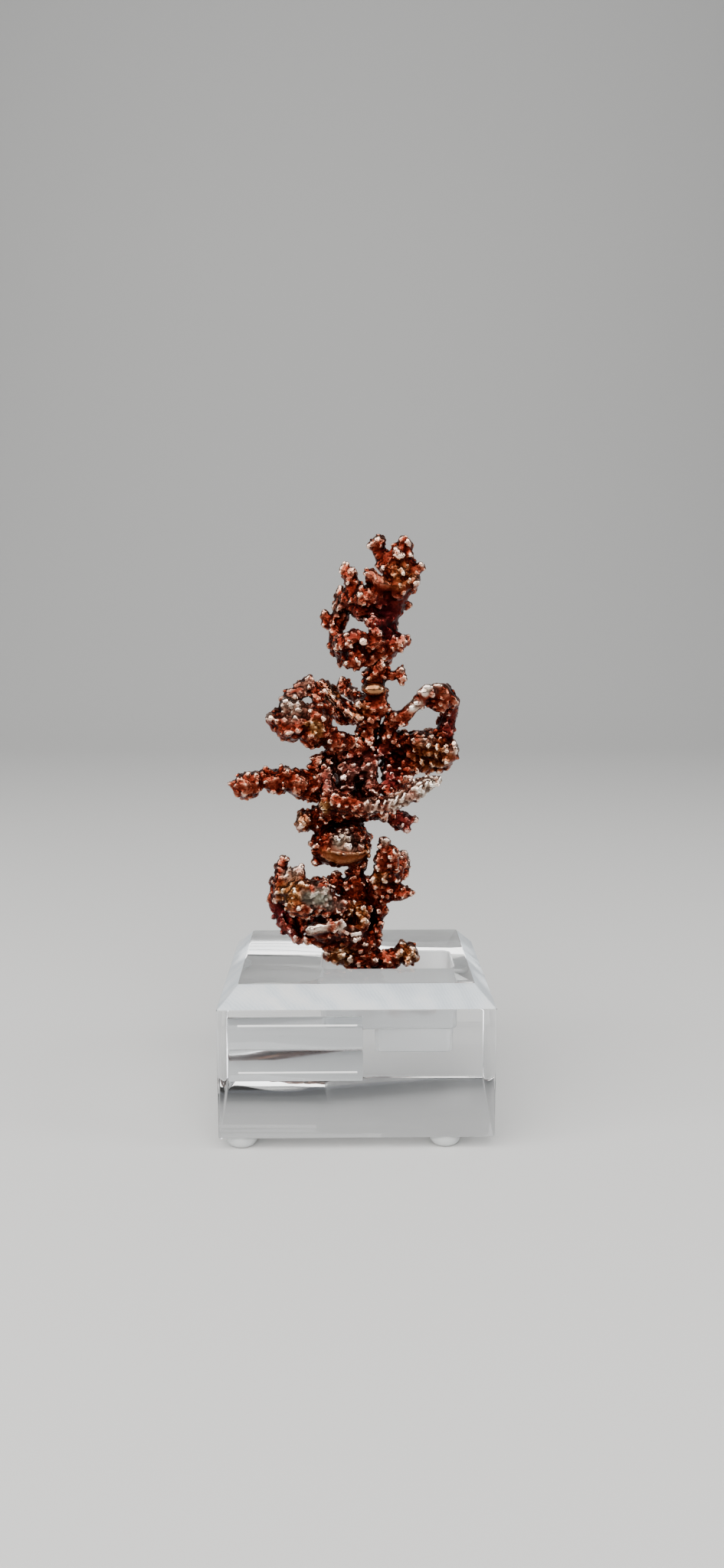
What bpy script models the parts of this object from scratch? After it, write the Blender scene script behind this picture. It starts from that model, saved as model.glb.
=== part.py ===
"""Branching native copper, standing in the milled pocket of a clear acrylic display block.

Metres, +Z up, +Y to the back. The origin is the centre of the whole part's footprint, at the level
that the feet stand on. Sizes below are in millimetres and are turned to metres by MM.
"""
import math
import random

import bmesh
import bpy
from mathutils import Matrix, Vector

MM = 0.001

# ---- driving dimensions, in millimetres ----
BLOCK_LENGTH = 50.0
BLOCK_DEPTH = 40.0
BLOCK_HEIGHT = 28.0
BLOCK_BEVEL = 3.75

FOOT_DIAMETER = 6.0
FOOT_HEIGHT = 2.0
FOOT_RIM = 0.5
FOOT_CONTACT_RADIUS = 1.8
FOOT_SEGMENTS = 16
FOOT_ARC_STEPS = 3

GAP = 0.3
FILM_THICKNESS = 0.15
FILM_GAP = 0.1
FILM_LEFT, FILM_RIGHT = -23.0, 1.1
FILM_BOTTOM, FILM_SEAM, FILM_TOP = 13.4, 19.4, 25.5
FILM_SEAM_GAP = 0.05

POCKET_LEFT, POCKET_RIGHT = -6.5, 18.4
POCKET_FRONT, POCKET_BACK = -8.3, 2.3
POCKET_FLOOR = 19.0
WELL_LEFT, WELL_RIGHT = 3.5, 17.8
WELL_FRONT, WELL_BACK = -8.0, 2.0
WELL_FLOOR = 14.8
WELL_FLOOR_RADIUS = 0.7
MILL_RADIUS = 1.5
MILL_SEGMENTS = 4
CUTTER_OVERSHOOT = 2.0

BLOCK_BOTTOM = FOOT_HEIGHT + GAP
BLOCK_TOP = BLOCK_BOTTOM + BLOCK_HEIGHT
# The label stands proud of the front face, so all the rest moves back by half of that.
BLOCK_SHIFT = (FILM_GAP + FILM_THICKNESS) / 2

FOOT_PLACES = {
    "foot_front_left": (-21.0, -16.8),
    "foot_front_right": (16.2, -16.8),
    "foot_rear_left": (-21.2, 16.5),
    "foot_rear_right": (21.8, 16.5),
}

# ---- how the copper is grown: lumps along each strand, fused into one skin ----
VOXEL = 0.42
BALL_STEP = 0.85      # distance between lumps, in radii
BALL_WOBBLE = 0.18    # how far a lump strays from its strand, in radii
BALL_SWELL = 0.16     # how much a lump's radius varies
SPLIT_SWELL = 0.45    # the swelling of an earlier branch that cuts a later one back
SPLIT_VOXEL = 0.5
SPLIT_SHARE = 0.25
SPARE_FACES = 1.2


def fresh_scene():
    for item in list(bpy.data.objects):
        bpy.data.objects.remove(item, do_unlink=True)


def collection(name):
    made = bpy.data.collections.new(name)
    bpy.context.scene.collection.children.link(made)
    return made


def material(name, colour, roughness, metallic=0.0, transmission=0.0, ior=1.45):
    made = bpy.data.materials.new(name)
    made.use_nodes = True
    shader = made.node_tree.nodes["Principled BSDF"]
    shader.inputs["Base Color"].default_value = (*colour, 1.0)
    shader.inputs["Roughness"].default_value = roughness
    shader.inputs["Metallic"].default_value = metallic
    shader.inputs["Transmission Weight"].default_value = transmission
    shader.inputs["IOR"].default_value = ior
    made.diffuse_color = (*colour, 1.0)
    return made


def add_object(name, mesh, home, finish=None):
    made = bpy.data.objects.new(name, mesh)
    home.objects.link(made)
    if finish:
        mesh.materials.clear()
        mesh.materials.append(finish)
    return made


def mesh_from(bm, name):
    mesh = bpy.data.meshes.new(name)
    bm.to_mesh(mesh)
    bm.free()
    return mesh


def evaluated_mesh(item):
    """The mesh of an object as its modifiers leave it."""
    bpy.context.view_layer.update()
    graph = bpy.context.evaluated_depsgraph_get()
    return bpy.data.meshes.new_from_object(item.evaluated_get(graph))


def apply_modifiers(item):
    finished = evaluated_mesh(item)
    item.modifiers.clear()
    old = item.data
    item.data = finished
    bpy.data.meshes.remove(old)


# ---- the display block ----
def rounded_box(name, low, high, radius, home, floor_radius=0.0):
    """A box between two corners, in millimetres, with its upright edges rounded."""
    bm = bmesh.new()
    bmesh.ops.create_cube(bm, size=1.0)
    size = [(top - bottom) * MM for bottom, top in zip(low, high)]
    centre = [(top + bottom) / 2 * MM for bottom, top in zip(low, high)]
    bmesh.ops.scale(bm, vec=size, verts=bm.verts)
    bmesh.ops.translate(bm, vec=centre, verts=bm.verts)
    upright = [e for e in bm.edges if abs((e.verts[0].co - e.verts[1].co).z) > 0.5 * size[2]]
    bmesh.ops.bevel(bm, geom=upright, offset=radius * MM, segments=MILL_SEGMENTS, profile=0.5,
                    affect="EDGES")
    if floor_radius:
        floor = [e for e in bm.edges if all(v.co.z < low[2] * MM + 1e-6 for v in e.verts)]
        bmesh.ops.bevel(bm, geom=floor, offset=floor_radius * MM, segments=2, profile=0.5, affect="EDGES")
    return add_object(name, mesh_from(bm, name), home)


def make_block(home, cutters, finish):
    bm = bmesh.new()
    bmesh.ops.create_cube(bm, size=1.0)
    bmesh.ops.scale(bm, vec=(BLOCK_LENGTH * MM, BLOCK_DEPTH * MM, BLOCK_HEIGHT * MM), verts=bm.verts)
    middle = (0.0, BLOCK_SHIFT * MM, (BLOCK_BOTTOM + BLOCK_HEIGHT / 2) * MM)
    bmesh.ops.translate(bm, vec=middle, verts=bm.verts)
    rim = [e for e in bm.edges if all(v.co.z > middle[2] for v in e.verts)]
    bmesh.ops.bevel(bm, geom=rim, offset=BLOCK_BEVEL * MM, segments=1, affect="EDGES")
    block = add_object("display_block", mesh_from(bm, "display_block"), home, finish)

    above = BLOCK_TOP + CUTTER_OVERSHOOT
    pocket = rounded_box(
        "pocket_cutter", (POCKET_LEFT, POCKET_FRONT, POCKET_FLOOR),
        (POCKET_RIGHT, POCKET_BACK, above), MILL_RADIUS, cutters)
    well = rounded_box(
        "well_cutter", (WELL_LEFT, WELL_FRONT, WELL_FLOOR),
        (WELL_RIGHT, WELL_BACK, above), MILL_RADIUS, cutters, WELL_FLOOR_RADIUS)
    for cutter in (pocket, well):
        cutter.hide_render = True
        cutter.display_type = "WIRE"
        cut = block.modifiers.new(cutter.name, "BOOLEAN")
        cut.operation = "DIFFERENCE"
        cut.object = cutter
    return block


# ---- the clear film label ----
def make_label(home, finish):
    back = -BLOCK_DEPTH / 2 + BLOCK_SHIFT - FILM_GAP
    front = back - FILM_THICKNESS
    strips = {
        "label_upper_strip": (FILM_SEAM + FILM_SEAM_GAP, FILM_TOP),
        "label_lower_strip": (FILM_BOTTOM, FILM_SEAM - FILM_SEAM_GAP),
    }
    for name, (bottom, top) in strips.items():
        bm = bmesh.new()
        bmesh.ops.create_cube(bm, size=1.0)
        bmesh.ops.scale(bm, vec=((FILM_RIGHT - FILM_LEFT) * MM, (back - front) * MM, (top - bottom) * MM),
                        verts=bm.verts)
        middle = ((FILM_LEFT + FILM_RIGHT) / 2, (front + back) / 2, (bottom + top) / 2)
        bmesh.ops.translate(bm, vec=Vector(middle) * MM, verts=bm.verts)
        add_object(name, mesh_from(bm, name), home, finish)


# ---- the bumper feet ----
def foot_profile():
    """Half section of a domed bumper, top to bottom, with the flat patch it rests on."""
    wide = FOOT_DIAMETER / 2
    dome_top = FOOT_HEIGHT - FOOT_RIM
    points = [(0.0, FOOT_HEIGHT), (wide, FOOT_HEIGHT)]
    for step in range(FOOT_ARC_STEPS + 1):
        turn = math.pi / 2 * step / FOOT_ARC_STEPS
        across = FOOT_CONTACT_RADIUS + (wide - FOOT_CONTACT_RADIUS) * math.cos(turn)
        points.append((across, dome_top * (1.0 - math.sin(turn))))
    points.append((0.0, 0.0))
    return points


def make_feet(home, finish):
    bm = bmesh.new()
    outline = [bm.verts.new((across * MM, 0.0, height * MM)) for across, height in foot_profile()]
    for upper, lower in zip(outline, outline[1:]):
        bm.edges.new((upper, lower))
    profile = mesh_from(bm, "bumper")
    profile.materials.append(finish)
    for name, (x, y) in FOOT_PLACES.items():
        foot = add_object(name, profile, home)
        foot.location = (x * MM, (y + BLOCK_SHIFT) * MM, 0.0)
        turn = foot.modifiers.new("turn", "SCREW")
        turn.axis = "Z"
        turn.angle = 2 * math.pi
        turn.steps = turn.render_steps = FOOT_SEGMENTS
        turn.use_merge_vertices = True
        turn.merge_threshold = 0.00001
        turn.use_normal_calculate = True


# ---- the copper ----
# A strand is a run of (x, y, z, radius) in millimetres, grown as a row of lumps from first to last.
# A lone lump is a strand of one point. A pad is (x, y, z, half width, half depth, half height).

COPPER_FOOT = dict(
    name="copper_foot", faces=560, seed=11,
    strands=[
        [(-4.5, -4, 32, 1.4), (-3, -4, 31, 1.6), (0.5, -3, 31, 2.0), (4.5, -3, 30.5, 1.7),
         (7.5, -3, 31, 1.7), (10.5, -2.5, 31.3, 1.6)],
        [(8, -4, 31.8, 1.1)],
        [(9, -2.5, 32.4, 1.1)],
        [(10.5, -3.5, 32.3, 1.0)],
        [(11, -1.5, 31.5, 1.0)],
        [(0, -3, 30.5, 2.4), (1, -3, 27.5, 2.0), (2.2, -2.5, 24, 1.7), (2.2, -2.5, 21, 1.5)],
        [(4.5, -3, 30, 2.0), (6.5, -4, 27.5, 2.1), (9, -5, 24.5, 2.3), (11, -5.5, 22, 2.1)],
        [(7.5, -6, 21.5, 1.5)],
        [(13, -6, 21.5, 1.3)],
        [(10.5, -6.5, 25.5, 1.2)],
    ])

COPPER_LOWER_TRUNK = dict(
    name="copper_lower_trunk", faces=780, seed=23,
    strands=[
        [(0.5, -3, 33, 2.4), (-0.5, -4.5, 36.5, 2.4), (0.5, -4, 39.5, 2.2), (0.5, -3, 43, 2.0),
         (0, -2, 46.5, 1.9), (0.5, -2, 49, 1.8)],
        [(-2.5, -7.5, 38, 1.4), (-0.5, -6, 37, 1.6)],
        [(0, -7, 36.3, 1.3)],
        [(1.3, -6, 39, 1.2)],
        [(3.5, -2, 33, 1.5), (3.5, -2, 36, 1.4), (4, -2, 40.5, 1.5), (3.5, -3, 43, 1.4)],
        [(-9.2, -6, 35.7, 1.0), (-5.5, -5, 34.6, 1.4), (-3.5, -4, 33.3, 1.7), (-1, -3.5, 32.8, 1.9)],
        [(-9, -9, 38, 1.0), (-4.2, -9, 38.8, 1.1), (-2.5, -7.5, 38, 1.3)],
        [(-7.5, -7.5, 36.8, 1.1), (-4.2, -6.5, 36.5, 1.5), (-2, -5, 36, 1.8)],
        [(-1, -3, 44, 1.6), (-2.8, -3, 44.7, 1.4), (-4.3, -3, 45.8, 1.2), (-3.4, -3, 47.2, 1.0)],
        [(0.5, -1, 38, 1.8), (1, 1, 41, 1.5), (0.5, 2.5, 44, 1.1)],
        [(3.5, -0.5, 35, 1.3), (4.5, 2, 37, 1.1), (5, 3.5, 39, 0.9)],
    ])

COPPER_LOWER_LEFT_CLUSTER = dict(
    name="copper_lower_left_cluster", faces=760, seed=37,
    strands=[
        [(-2.5, -5.5, 41.5, 1.9), (-5.5, -8, 43, 2.2), (-7.7, -9, 44.8, 2.1), (-10.3, -8, 45, 2.2),
         (-13.2, -6, 45.2, 2.0)],
        [(-13.2, -6, 45.5, 1.9), (-14.2, -5, 48.2, 1.3), (-13.6, -5, 50.2, 0.9)],
        [(-12, -7, 46.5, 1.4), (-12.3, -7, 48.8, 1.0)],
        [(-10.5, -8, 46.5, 1.5), (-10.4, -8, 48.5, 1.0), (-10.4, -8, 49.7, 0.8)],
        [(-13.2, -5.5, 44.5, 1.9), (-14.7, -4, 41.5, 1.7), (-13.8, -5, 38.6, 1.4), (-12.2, -6, 37, 1.2),
         (-10.6, -6, 35.2, 1.0)],
        [(-11.1, -9.5, 43, 1.7), (-8.5, -9.5, 43, 1.6), (-6, -9, 41.8, 1.3)],
        [(-8.5, -6, 45.8, 1.3), (-6, -4.5, 45.6, 1.1)],
        [(-15.3, -4, 46, 0.9)],
        [(-15.5, -5, 43.5, 0.9)],
        [(-6.5, -6, 42.5, 1.8), (-10, -4, 43, 1.8), (-12.5, -2.5, 43.5, 1.6), (-13, 0, 45.5, 1.1)],
        [(-12.3, -4, 40, 1.3), (-11.5, -2, 38.5, 1.1)],
    ])

COPPER_LOWER_RIGHT_SPRAY = dict(
    name="copper_lower_right_spray", faces=520, seed=41,
    strands=[
        [(3.6, -3, 43.5, 1.5), (4.6, -5, 47.5, 1.3), (4.8, -6, 51.5, 1.1), (5.4, -6, 54.2, 1.0)],
        [(4.5, -3, 44, 1.4), (6.3, -4, 47.5, 1.4), (6.7, -6, 51.6, 1.2)],
        [(5.5, -3, 44.5, 1.3), (7.9, -2, 47.5, 1.2), (9, -1, 50.3, 0.9)],
        [(7.5, -1, 46.3, 1.2), (9.2, 0.5, 46.5, 1.0), (10, 1, 48.2, 0.8)],
        [(4.2, -3, 43, 1.5), (6.7, -3, 43.2, 1.5), (9, -3, 43.4, 1.5)],
        [(5, -1.5, 44, 1.2), (5.5, 1.5, 46, 1.1), (6.5, 4, 48.5, 0.9)],
    ])

COPPER_MIDDLE_TRUNK = dict(
    name="copper_middle_trunk", faces=1080, seed=53,
    pads=[(-2.8, -5, 51.8, 5.0, 3.0, 2.7)],
    strands=[
        [(0.3, -2, 49, 1.9), (0, -1.5, 53, 2.4), (-1, -1.5, 57, 2.4), (-1.5, -2, 60.5, 2.2)],
        [(-7, -5, 52.6, 1.6)],
        [(1, -4, 52, 1.9)],
        [(-7.4, -4, 53.8, 1.1), (-5.5, -4.5, 54.3, 1.6), (-2.5, -5.5, 55, 1.7), (0, -4, 55.3, 1.7)],
        [(-7.6, -4.5, 49.8, 1.1)],
        [(-5.5, -2, 58.7, 1.9), (-2, -2.5, 59.3, 2.0), (2, -2, 59, 1.9), (4.5, -1.5, 59.5, 1.6)],
        [(-5.5, -3, 58.5, 1.7), (-7.5, -3.5, 58.4, 1.7), (-9.4, -5, 57.8, 1.7), (-10.3, -5, 56.5, 1.1)],
        [(-8, -4, 57, 1.5), (-5.5, -3, 57, 1.7)],
        [(4.5, -1, 58.7, 1.5), (6.5, 0, 57.7, 1.5), (8.5, 1, 57, 1.4), (11, 1, 57.3, 0.9)],
        [(8.5, 0.5, 56.5, 1.1), (9.8, 0, 55.4, 0.9)],
        [(-4.3, -3.5, 60.5, 1.5), (-5.3, -5, 63.2, 1.5), (-5.8, -4, 66.7, 1.5), (-5.2, -2, 69.3, 1.5),
         (-3, -1.5, 70.8, 1.6)],
        [(-2, -2.5, 60.5, 2.0), (-2.2, -3, 63.6, 2.0), (-2, -2, 67.8, 2.0), (0, -1.5, 71, 2.0)],
        [(2, -2.5, 60.5, 1.7), (2.7, -3, 63.6, 1.7), (2.6, -2, 67.8, 1.7), (1.4, -1, 70.8, 2.0)],
        [(-1, 1, 60, 1.9), (0, 2, 65, 1.9), (0.5, 0.5, 70, 1.8)],
        [(-2, 2.5, 60.5, 1.5), (-3, 6, 61.5, 1.4), (-3.5, 8.5, 63.5, 1.0)],
        [(1.5, 2.5, 66, 1.4), (3, 5.5, 66.5, 1.2), (3.5, 7.5, 68.5, 0.9)],
        [(0.5, 0, 54, 1.8), (-1, 3, 54.5, 1.4), (-2.5, 5, 56, 1.0)],
    ])

COPPER_RIGHT_BLADE = dict(
    name="copper_right_blade", faces=420, seed=61, step=0.6,
    pads=[(4.9, -9, 61.5, 1.5, 1.1, 1.6), (8.3, -9, 62.9, 1.9, 1.0, 1.8), (10.6, -9, 64.1, 1.9, 0.9, 2.1),
          (12.7, -9, 65.2, 1.6, 0.8, 1.7)],
    strands=[
        [(-2, -6, 60.8, 1.6), (-1.5, -8, 61.8, 1.3)],
        [(-5.7, -7.5, 60.3, 1.3), (-5, -8, 62.2, 1.3), (-2, -9, 62.1, 1.3), (1.4, -9, 61.3, 1.3),
         (4.9, -9, 61.5, 1.3), (8.4, -9, 62.8, 1.3), (11.6, -9, 64.5, 1.3), (14.8, -9, 66, 0.9)],
        [(1.5, -6, 60, 1.5), (2.5, -8, 60.8, 1.3)],
    ])

COPPER_LEFT_FINGER = dict(
    name="copper_left_finger", faces=480, seed=71,
    strands=[
        [(-6, -4.5, 64.8, 1.7), (-7.5, -5, 65, 1.9), (-10.1, -6, 65.5, 2.3), (-12.8, -6, 66, 1.8),
         (-15.2, -7, 65.8, 2.0), (-17.2, -7, 66.1, 1.5), (-19.3, -8, 65.1, 2.4)],
        [(-19.6, -8, 64.7, 2.4)],
        [(-16.3, -7, 67.3, 1.0)],
        [(-13, -6, 67.7, 1.0)],
        [(-7.2, -4.3, 66, 1.3), (-7.2, -4, 68, 1.1), (-7.1, -4, 69.6, 0.9)],
        [(-9.5, -5, 63.5, 1.4), (-7.5, -4.5, 62.8, 1.3)],
    ])

COPPER_LEFT_UPPER_ARM = dict(
    name="copper_left_upper_arm", faces=760, seed=83,
    strands=[
        [(-0.5, -2, 72, 1.7), (-3.2, -3, 72.3, 1.8), (-5.5, -5, 74.2, 2.2), (-8.4, -6, 75.3, 2.5),
         (-11.1, -6, 75.9, 2.3), (-13.5, -5, 76.3, 1.8), (-14.8, -5, 77, 1.3)],
        [(-7, -7.3, 77.6, 1.6)],
        [(-9.7, -6, 78.3, 1.8), (-12.1, -4.5, 79, 1.8), (-13, -3.5, 80.2, 1.1)],
        [(-11.8, -4, 79.8, 1.4), (-11, -3, 81.4, 1.2), (-9.9, -2, 82.3, 1.2), (-8.4, -2, 82.8, 1.1),
         (-7.2, -2, 81.6, 1.0), (-6.6, -3.5, 79.6, 1.1), (-7, -5.5, 78.3, 1.3)],
        [(-11, -4, 74.4, 1.2), (-12, -3, 73.2, 0.9)],
        [(-6, -4.5, 73, 1.7), (-9, -5, 73.8, 1.7)],
        [(-5.8, -4, 76.5, 1.5), (-5.2, -3, 78.3, 1.3)],
        [(-10, -4, 76, 1.8), (-10.5, -1, 77.5, 1.4), (-10, 2, 78, 1.0)],
    ])

COPPER_LEFT_UPPER_FINGER = dict(
    name="copper_left_upper_finger", faces=280, seed=97,
    strands=[
        [(1, 0, 76.8, 2.1), (-1.2, 0.5, 77.3, 2.0), (-3, 1, 78.3, 1.8), (-4.8, 1, 80.2, 1.5),
         (-5.7, 1, 82.5, 1.2)],
        [(-1, 1.5, 77.5, 1.4), (-2.5, 4.5, 77.5, 1.1), (-4, 6.5, 79, 0.9)],
    ])

COPPER_RIGHT_LOOP_ARM = dict(
    name="copper_right_loop_arm", faces=1020, seed=101,
    pads=[(15.6, -1.5, 79.8, 2.1, 1.2, 2.2)],
    strands=[
        [(3.3, -0.5, 70.3, 1.5), (4.8, 0, 70.2, 1.6), (6.3, 0, 72.5, 1.7), (6.1, -1, 75.4, 1.5),
         (7.8, -2, 76.7, 1.5), (10.5, -3, 78.4, 1.4), (12.3, -3, 80.2, 1.3), (13.3, -3, 81.8, 1.4),
         (15.8, -2, 81.4, 1.7), (17.6, 0, 80.9, 1.5), (18, 1, 78.3, 1.5), (17.4, 2, 75.3, 1.5),
         (16.8, 1.5, 72.8, 1.7), (15.5, 0.5, 71.3, 2.1)],
        [(6.4, 0.5, 72, 1.7), (9, 1, 72.4, 1.9), (11.7, 0, 72.3, 2.2), (15.1, 0, 71.4, 2.3),
         (17.4, -1, 70.4, 1.7)],
        [(18.1, -1, 71, 1.1)],
        [(8, 2, 69.5, 1.7), (9.3, 2, 69, 1.8), (12.3, 1, 68.7, 1.9), (15.6, 1.5, 67.9, 1.7),
         (17.4, 0, 67.9, 1.4)],
        [(10, 1, 70.5, 1.8), (12.5, 1, 70.3, 1.9), (15.5, 0.5, 69.7, 1.9)],
        [(8.3, 1.5, 68.5, 1.8), (7.2, 0, 66.8, 1.9), (6.9, -2, 64.8, 1.8), (6.5, -4.5, 63, 1.5)],
        [(8, 0, 66.5, 1.5), (10.5, 0, 66.4, 1.3)],
        [(7.5, -2, 65, 1.5), (9, -3, 65, 1.2)],
        [(12, 2, 70.5, 1.6), (13.5, 5, 71.5, 1.4), (15, 7.5, 73.5, 1.0)],
        [(7, 1, 71, 1.5), (7, 4, 72.5, 1.2), (6, 6, 74.5, 0.9)],
    ])

COPPER_NECK = dict(
    name="copper_neck", faces=520, seed=113,
    pads=[(3.2, -2.3, 82.3, 2.2, 1.4, 1.0)],
    strands=[
        [(1.3, -1, 71.5, 2.1), (2.3, 0, 74.2, 2.2), (2.3, 0, 77.7, 2.3), (3.8, -1, 80, 1.9),
         (3.6, -1, 82.5, 1.8), (4, -1, 84.7, 1.5), (4.6, -1, 86.5, 1.5)],
        [(3, -1, 84.2, 1.5), (2.5, -0.5, 85.3, 0.9)],
        [(5.3, -1.8, 80.3, 1.2), (4.8, -1.8, 78.6, 1.1)],
        [(2.5, 1, 78.5, 1.4), (0.5, 4, 80.3, 1.2), (-1.7, 6.5, 81.6, 1.2), (-2.2, 7, 83, 0.9)],
        [(1.8, -1.3, 78.8, 1.2), (0.6, -3, 79.7, 0.9)],
        [(4.5, -0.5, 84.6, 1.0), (6.4, -0.5, 84.6, 0.8), (7.6, -1.2, 84.9, 0.8), (8.3, -2, 85.5, 1.2)],
        [(8.8, -2, 84.2, 0.9)],
    ])

COPPER_CROWN = dict(
    name="copper_crown", faces=1300, seed=127,
    strands=[
        [(4.6, -0.8, 86.8, 1.6), (4.5, 0, 88.3, 2.1), (4.8, 0, 91, 2.1), (6, 1, 94, 2.1), (6.8, 1, 97, 2.0),
         (7.4, 0, 100, 2.0), (8.1, 0, 103.2, 2.0), (8.8, 0, 106.3, 1.9), (9.3, 0, 108.6, 1.8)],
        [(8, -2, 107, 1.1)],
        [(10.3, 0, 103.8, 1.2), (11.4, 0, 104.2, 1.0)],
        [(10.6, -1.5, 102.2, 1.3)],
        [(9.5, 1.5, 100.3, 1.1), (10.4, 2, 100.5, 0.9)],
        [(9, 2.5, 97.8, 1.1)],
        [(7, 0.5, 102.5, 1.4), (5.4, 1, 104.6, 1.4), (4.6, 2, 107.3, 1.3), (4.6, 2, 109.2, 1.2)],
        [(4.4, 2, 108.2, 1.0), (3.1, 2, 108.8, 0.9)],
        [(7.5, 0, 105.5, 1.5), (6, 1, 106.6, 1.3)],
        [(6, -1, 101, 1.6), (4.2, -1.5, 101.7, 1.3), (3, -1.5, 103, 1.0)],
        [(6, 0.3, 98, 1.7), (3.2, -1.5, 99.3, 1.6), (0.9, 0, 98.5, 1.9), (-1.2, 1, 98.9, 1.3)],
        [(0.9, 0, 96.5, 1.5), (3.5, 0.5, 96, 1.5)],
        [(0.5, 0.5, 99.5, 1.2), (-0.3, 1, 101, 1.2), (-1.3, 1, 103, 1.2), (-2.2, 1, 104.6, 1.0)],
        [(-1.5, 1.5, 98, 1.2), (-2.6, 3, 96.8, 1.3), (-3.2, 3, 98.6, 1.0), (-3, 3, 99.8, 0.9)],
        [(-2.4, 3, 96.8, 1.2), (-2.8, 3, 95, 1.3), (-3.8, 2, 92.5, 1.4), (-3, 0.5, 90, 1.8)],
        [(-3.2, 3, 94.6, 1.1), (-5.4, 3.5, 94.8, 1.05)],
        [(-5.2, 3.3, 93.6, 0.8)],
        [(-2.5, -0.5, 88.6, 2.2), (0, -1.5, 88.1, 1.9), (3, -1, 88.5, 1.7)],
        [(-2, -3, 90.5, 1.4), (0.3, -3.3, 91.7, 1.2), (2.6, -3.2, 90.4, 1.2), (4, -2, 90.3, 1.3)],
        [(3.6, -2.8, 92.3, 1.0)],
        [(5, -1, 94.5, 1.1), (3.5, -2.2, 94.6, 0.9), (2.1, -2.7, 94.4, 0.9)],
        [(6, -1, 88.7, 1.4), (7, -1.2, 89.6, 1.3), (8.5, -1.5, 90.5, 1.1), (9.6, -1, 91.3, 0.9)],
        [(5.5, 1.5, 92, 1.6), (5.5, 4.5, 93.5, 1.3), (4.5, 6.5, 96, 1.0)],
        [(7, 1.5, 99, 1.5), (7.5, 4, 101, 1.2), (7, 5.5, 103.5, 0.9)],
        [(0, 1, 97.5, 1.3), (-0.5, 4, 98.5, 1.1), (-0.5, 5.5, 100.5, 0.8)],
    ])

# Earlier branches keep their shape; each later one is cut back where it meets them.
BRANCHES = [
    COPPER_FOOT, COPPER_LOWER_TRUNK, COPPER_MIDDLE_TRUNK, COPPER_NECK, COPPER_CROWN,
    COPPER_RIGHT_LOOP_ARM, COPPER_LEFT_UPPER_ARM, COPPER_LEFT_UPPER_FINGER, COPPER_LEFT_FINGER,
    COPPER_RIGHT_BLADE, COPPER_LOWER_LEFT_CLUSTER, COPPER_LOWER_RIGHT_SPRAY,
]


def smooth_run(points, step):
    """Places along a smooth curve through the points, closer together where it is thin."""
    if len(points) == 1:
        return [Vector(points[0])]
    knots = [Vector(p) for p in points]
    knots = [2 * knots[0] - knots[1]] + knots + [2 * knots[-1] - knots[-2]]
    places = []
    for before, start, end, after in zip(knots, knots[1:], knots[2:], knots[3:]):
        length = (end.xyz - start.xyz).length
        count = max(1, round(length / (step * (start.w + end.w) / 2)))
        for index in range(count):
            t = index / count
            places.append(0.5 * (2 * start + (end - before) * t
                                 + (2 * before - 5 * start + 4 * end - after) * t * t
                                 + (3 * start - before - 3 * end + after) * t ** 3))
    places.append(knots[-2])
    return places


def add_ball(bm, centre, half_sizes):
    where = Matrix.Translation(Vector(centre) * MM) @ Matrix.Diagonal((*half_sizes, 1.0 / MM)) * MM
    bmesh.ops.create_icosphere(bm, subdivisions=2, radius=1.0, matrix=where)


def largest_island(mesh):
    """Keep the one connected body that has the most faces."""
    bm = bmesh.new()
    bm.from_mesh(mesh)
    bm.faces.ensure_lookup_table()
    unseen = set(bm.faces)
    islands = []
    while unseen:
        front = [unseen.pop()]
        island = set(front)
        while front:
            face = front.pop()
            for edge in face.edges:
                for other in edge.link_faces:
                    if other in unseen:
                        unseen.remove(other)
                        island.add(other)
                        front.append(other)
        islands.append(island)
    islands.sort(key=len, reverse=True)
    loose = [face for island in islands[1:] for face in island]
    bmesh.ops.delete(bm, geom=loose, context="FACES")
    bm.to_mesh(mesh)
    bm.free()


def thin_to(item, faces):
    """Thin a mesh of triangles or quads to about this many triangles."""
    now = sum(len(face.vertices) - 2 for face in item.data.polygons)
    if now > faces:
        thin = item.modifiers.new("thin", "DECIMATE")
        thin.ratio = faces / now
        apply_modifiers(item)


def grow(branch, home, finish):
    """Fuse one branch's lumps into a single closed skin."""
    rng = random.Random(branch["seed"])
    bm = bmesh.new()
    for x, y, z, *half_sizes in branch.get("pads", []):
        add_ball(bm, (x, y + BLOCK_SHIFT, z), half_sizes)
    for strand in branch["strands"]:
        for place in smooth_run(strand, branch.get("step", BALL_STEP)):
            radius = place.w * (1.0 + BALL_SWELL * rng.uniform(-1, 1))
            nudge = Vector([rng.gauss(0, 1) for _ in range(3)]) * (BALL_WOBBLE * place.w)
            centre = place.xyz + nudge + Vector((0, BLOCK_SHIFT, 0))
            add_ball(bm, centre, (radius, radius, radius))
    body = add_object(branch["name"], mesh_from(bm, branch["name"]), home, finish)
    fuse = body.modifiers.new("fuse", "REMESH")
    fuse.mode = "VOXEL"
    fuse.voxel_size = VOXEL * MM
    apply_modifiers(body)
    largest_island(body.data)
    thin_to(body, branch["faces"] * SPARE_FACES)
    return body


def swollen_copy(body, home):
    """The body grown outwards all over by the split's gap, as a cutter."""
    cutter = add_object(body.name + "_split", body.data.copy(), home)
    swell = cutter.modifiers.new("swell", "DISPLACE")
    swell.strength = SPLIT_SWELL * MM
    swell.mid_level = 0.0
    close = cutter.modifiers.new("close", "REMESH")
    close.mode = "VOXEL"
    close.voxel_size = SPLIT_VOXEL * MM
    thin = cutter.modifiers.new("thin", "DECIMATE")
    thin.ratio = SPLIT_SHARE
    apply_modifiers(cutter)
    cutter.hide_render = True
    cutter.display_type = "WIRE"
    return cutter


def extent(item):
    """The lowest and highest corner of an object's box."""
    along = list(zip(*(vert.co for vert in item.data.vertices)))
    return [min(axis) for axis in along], [max(axis) for axis in along]


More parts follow.
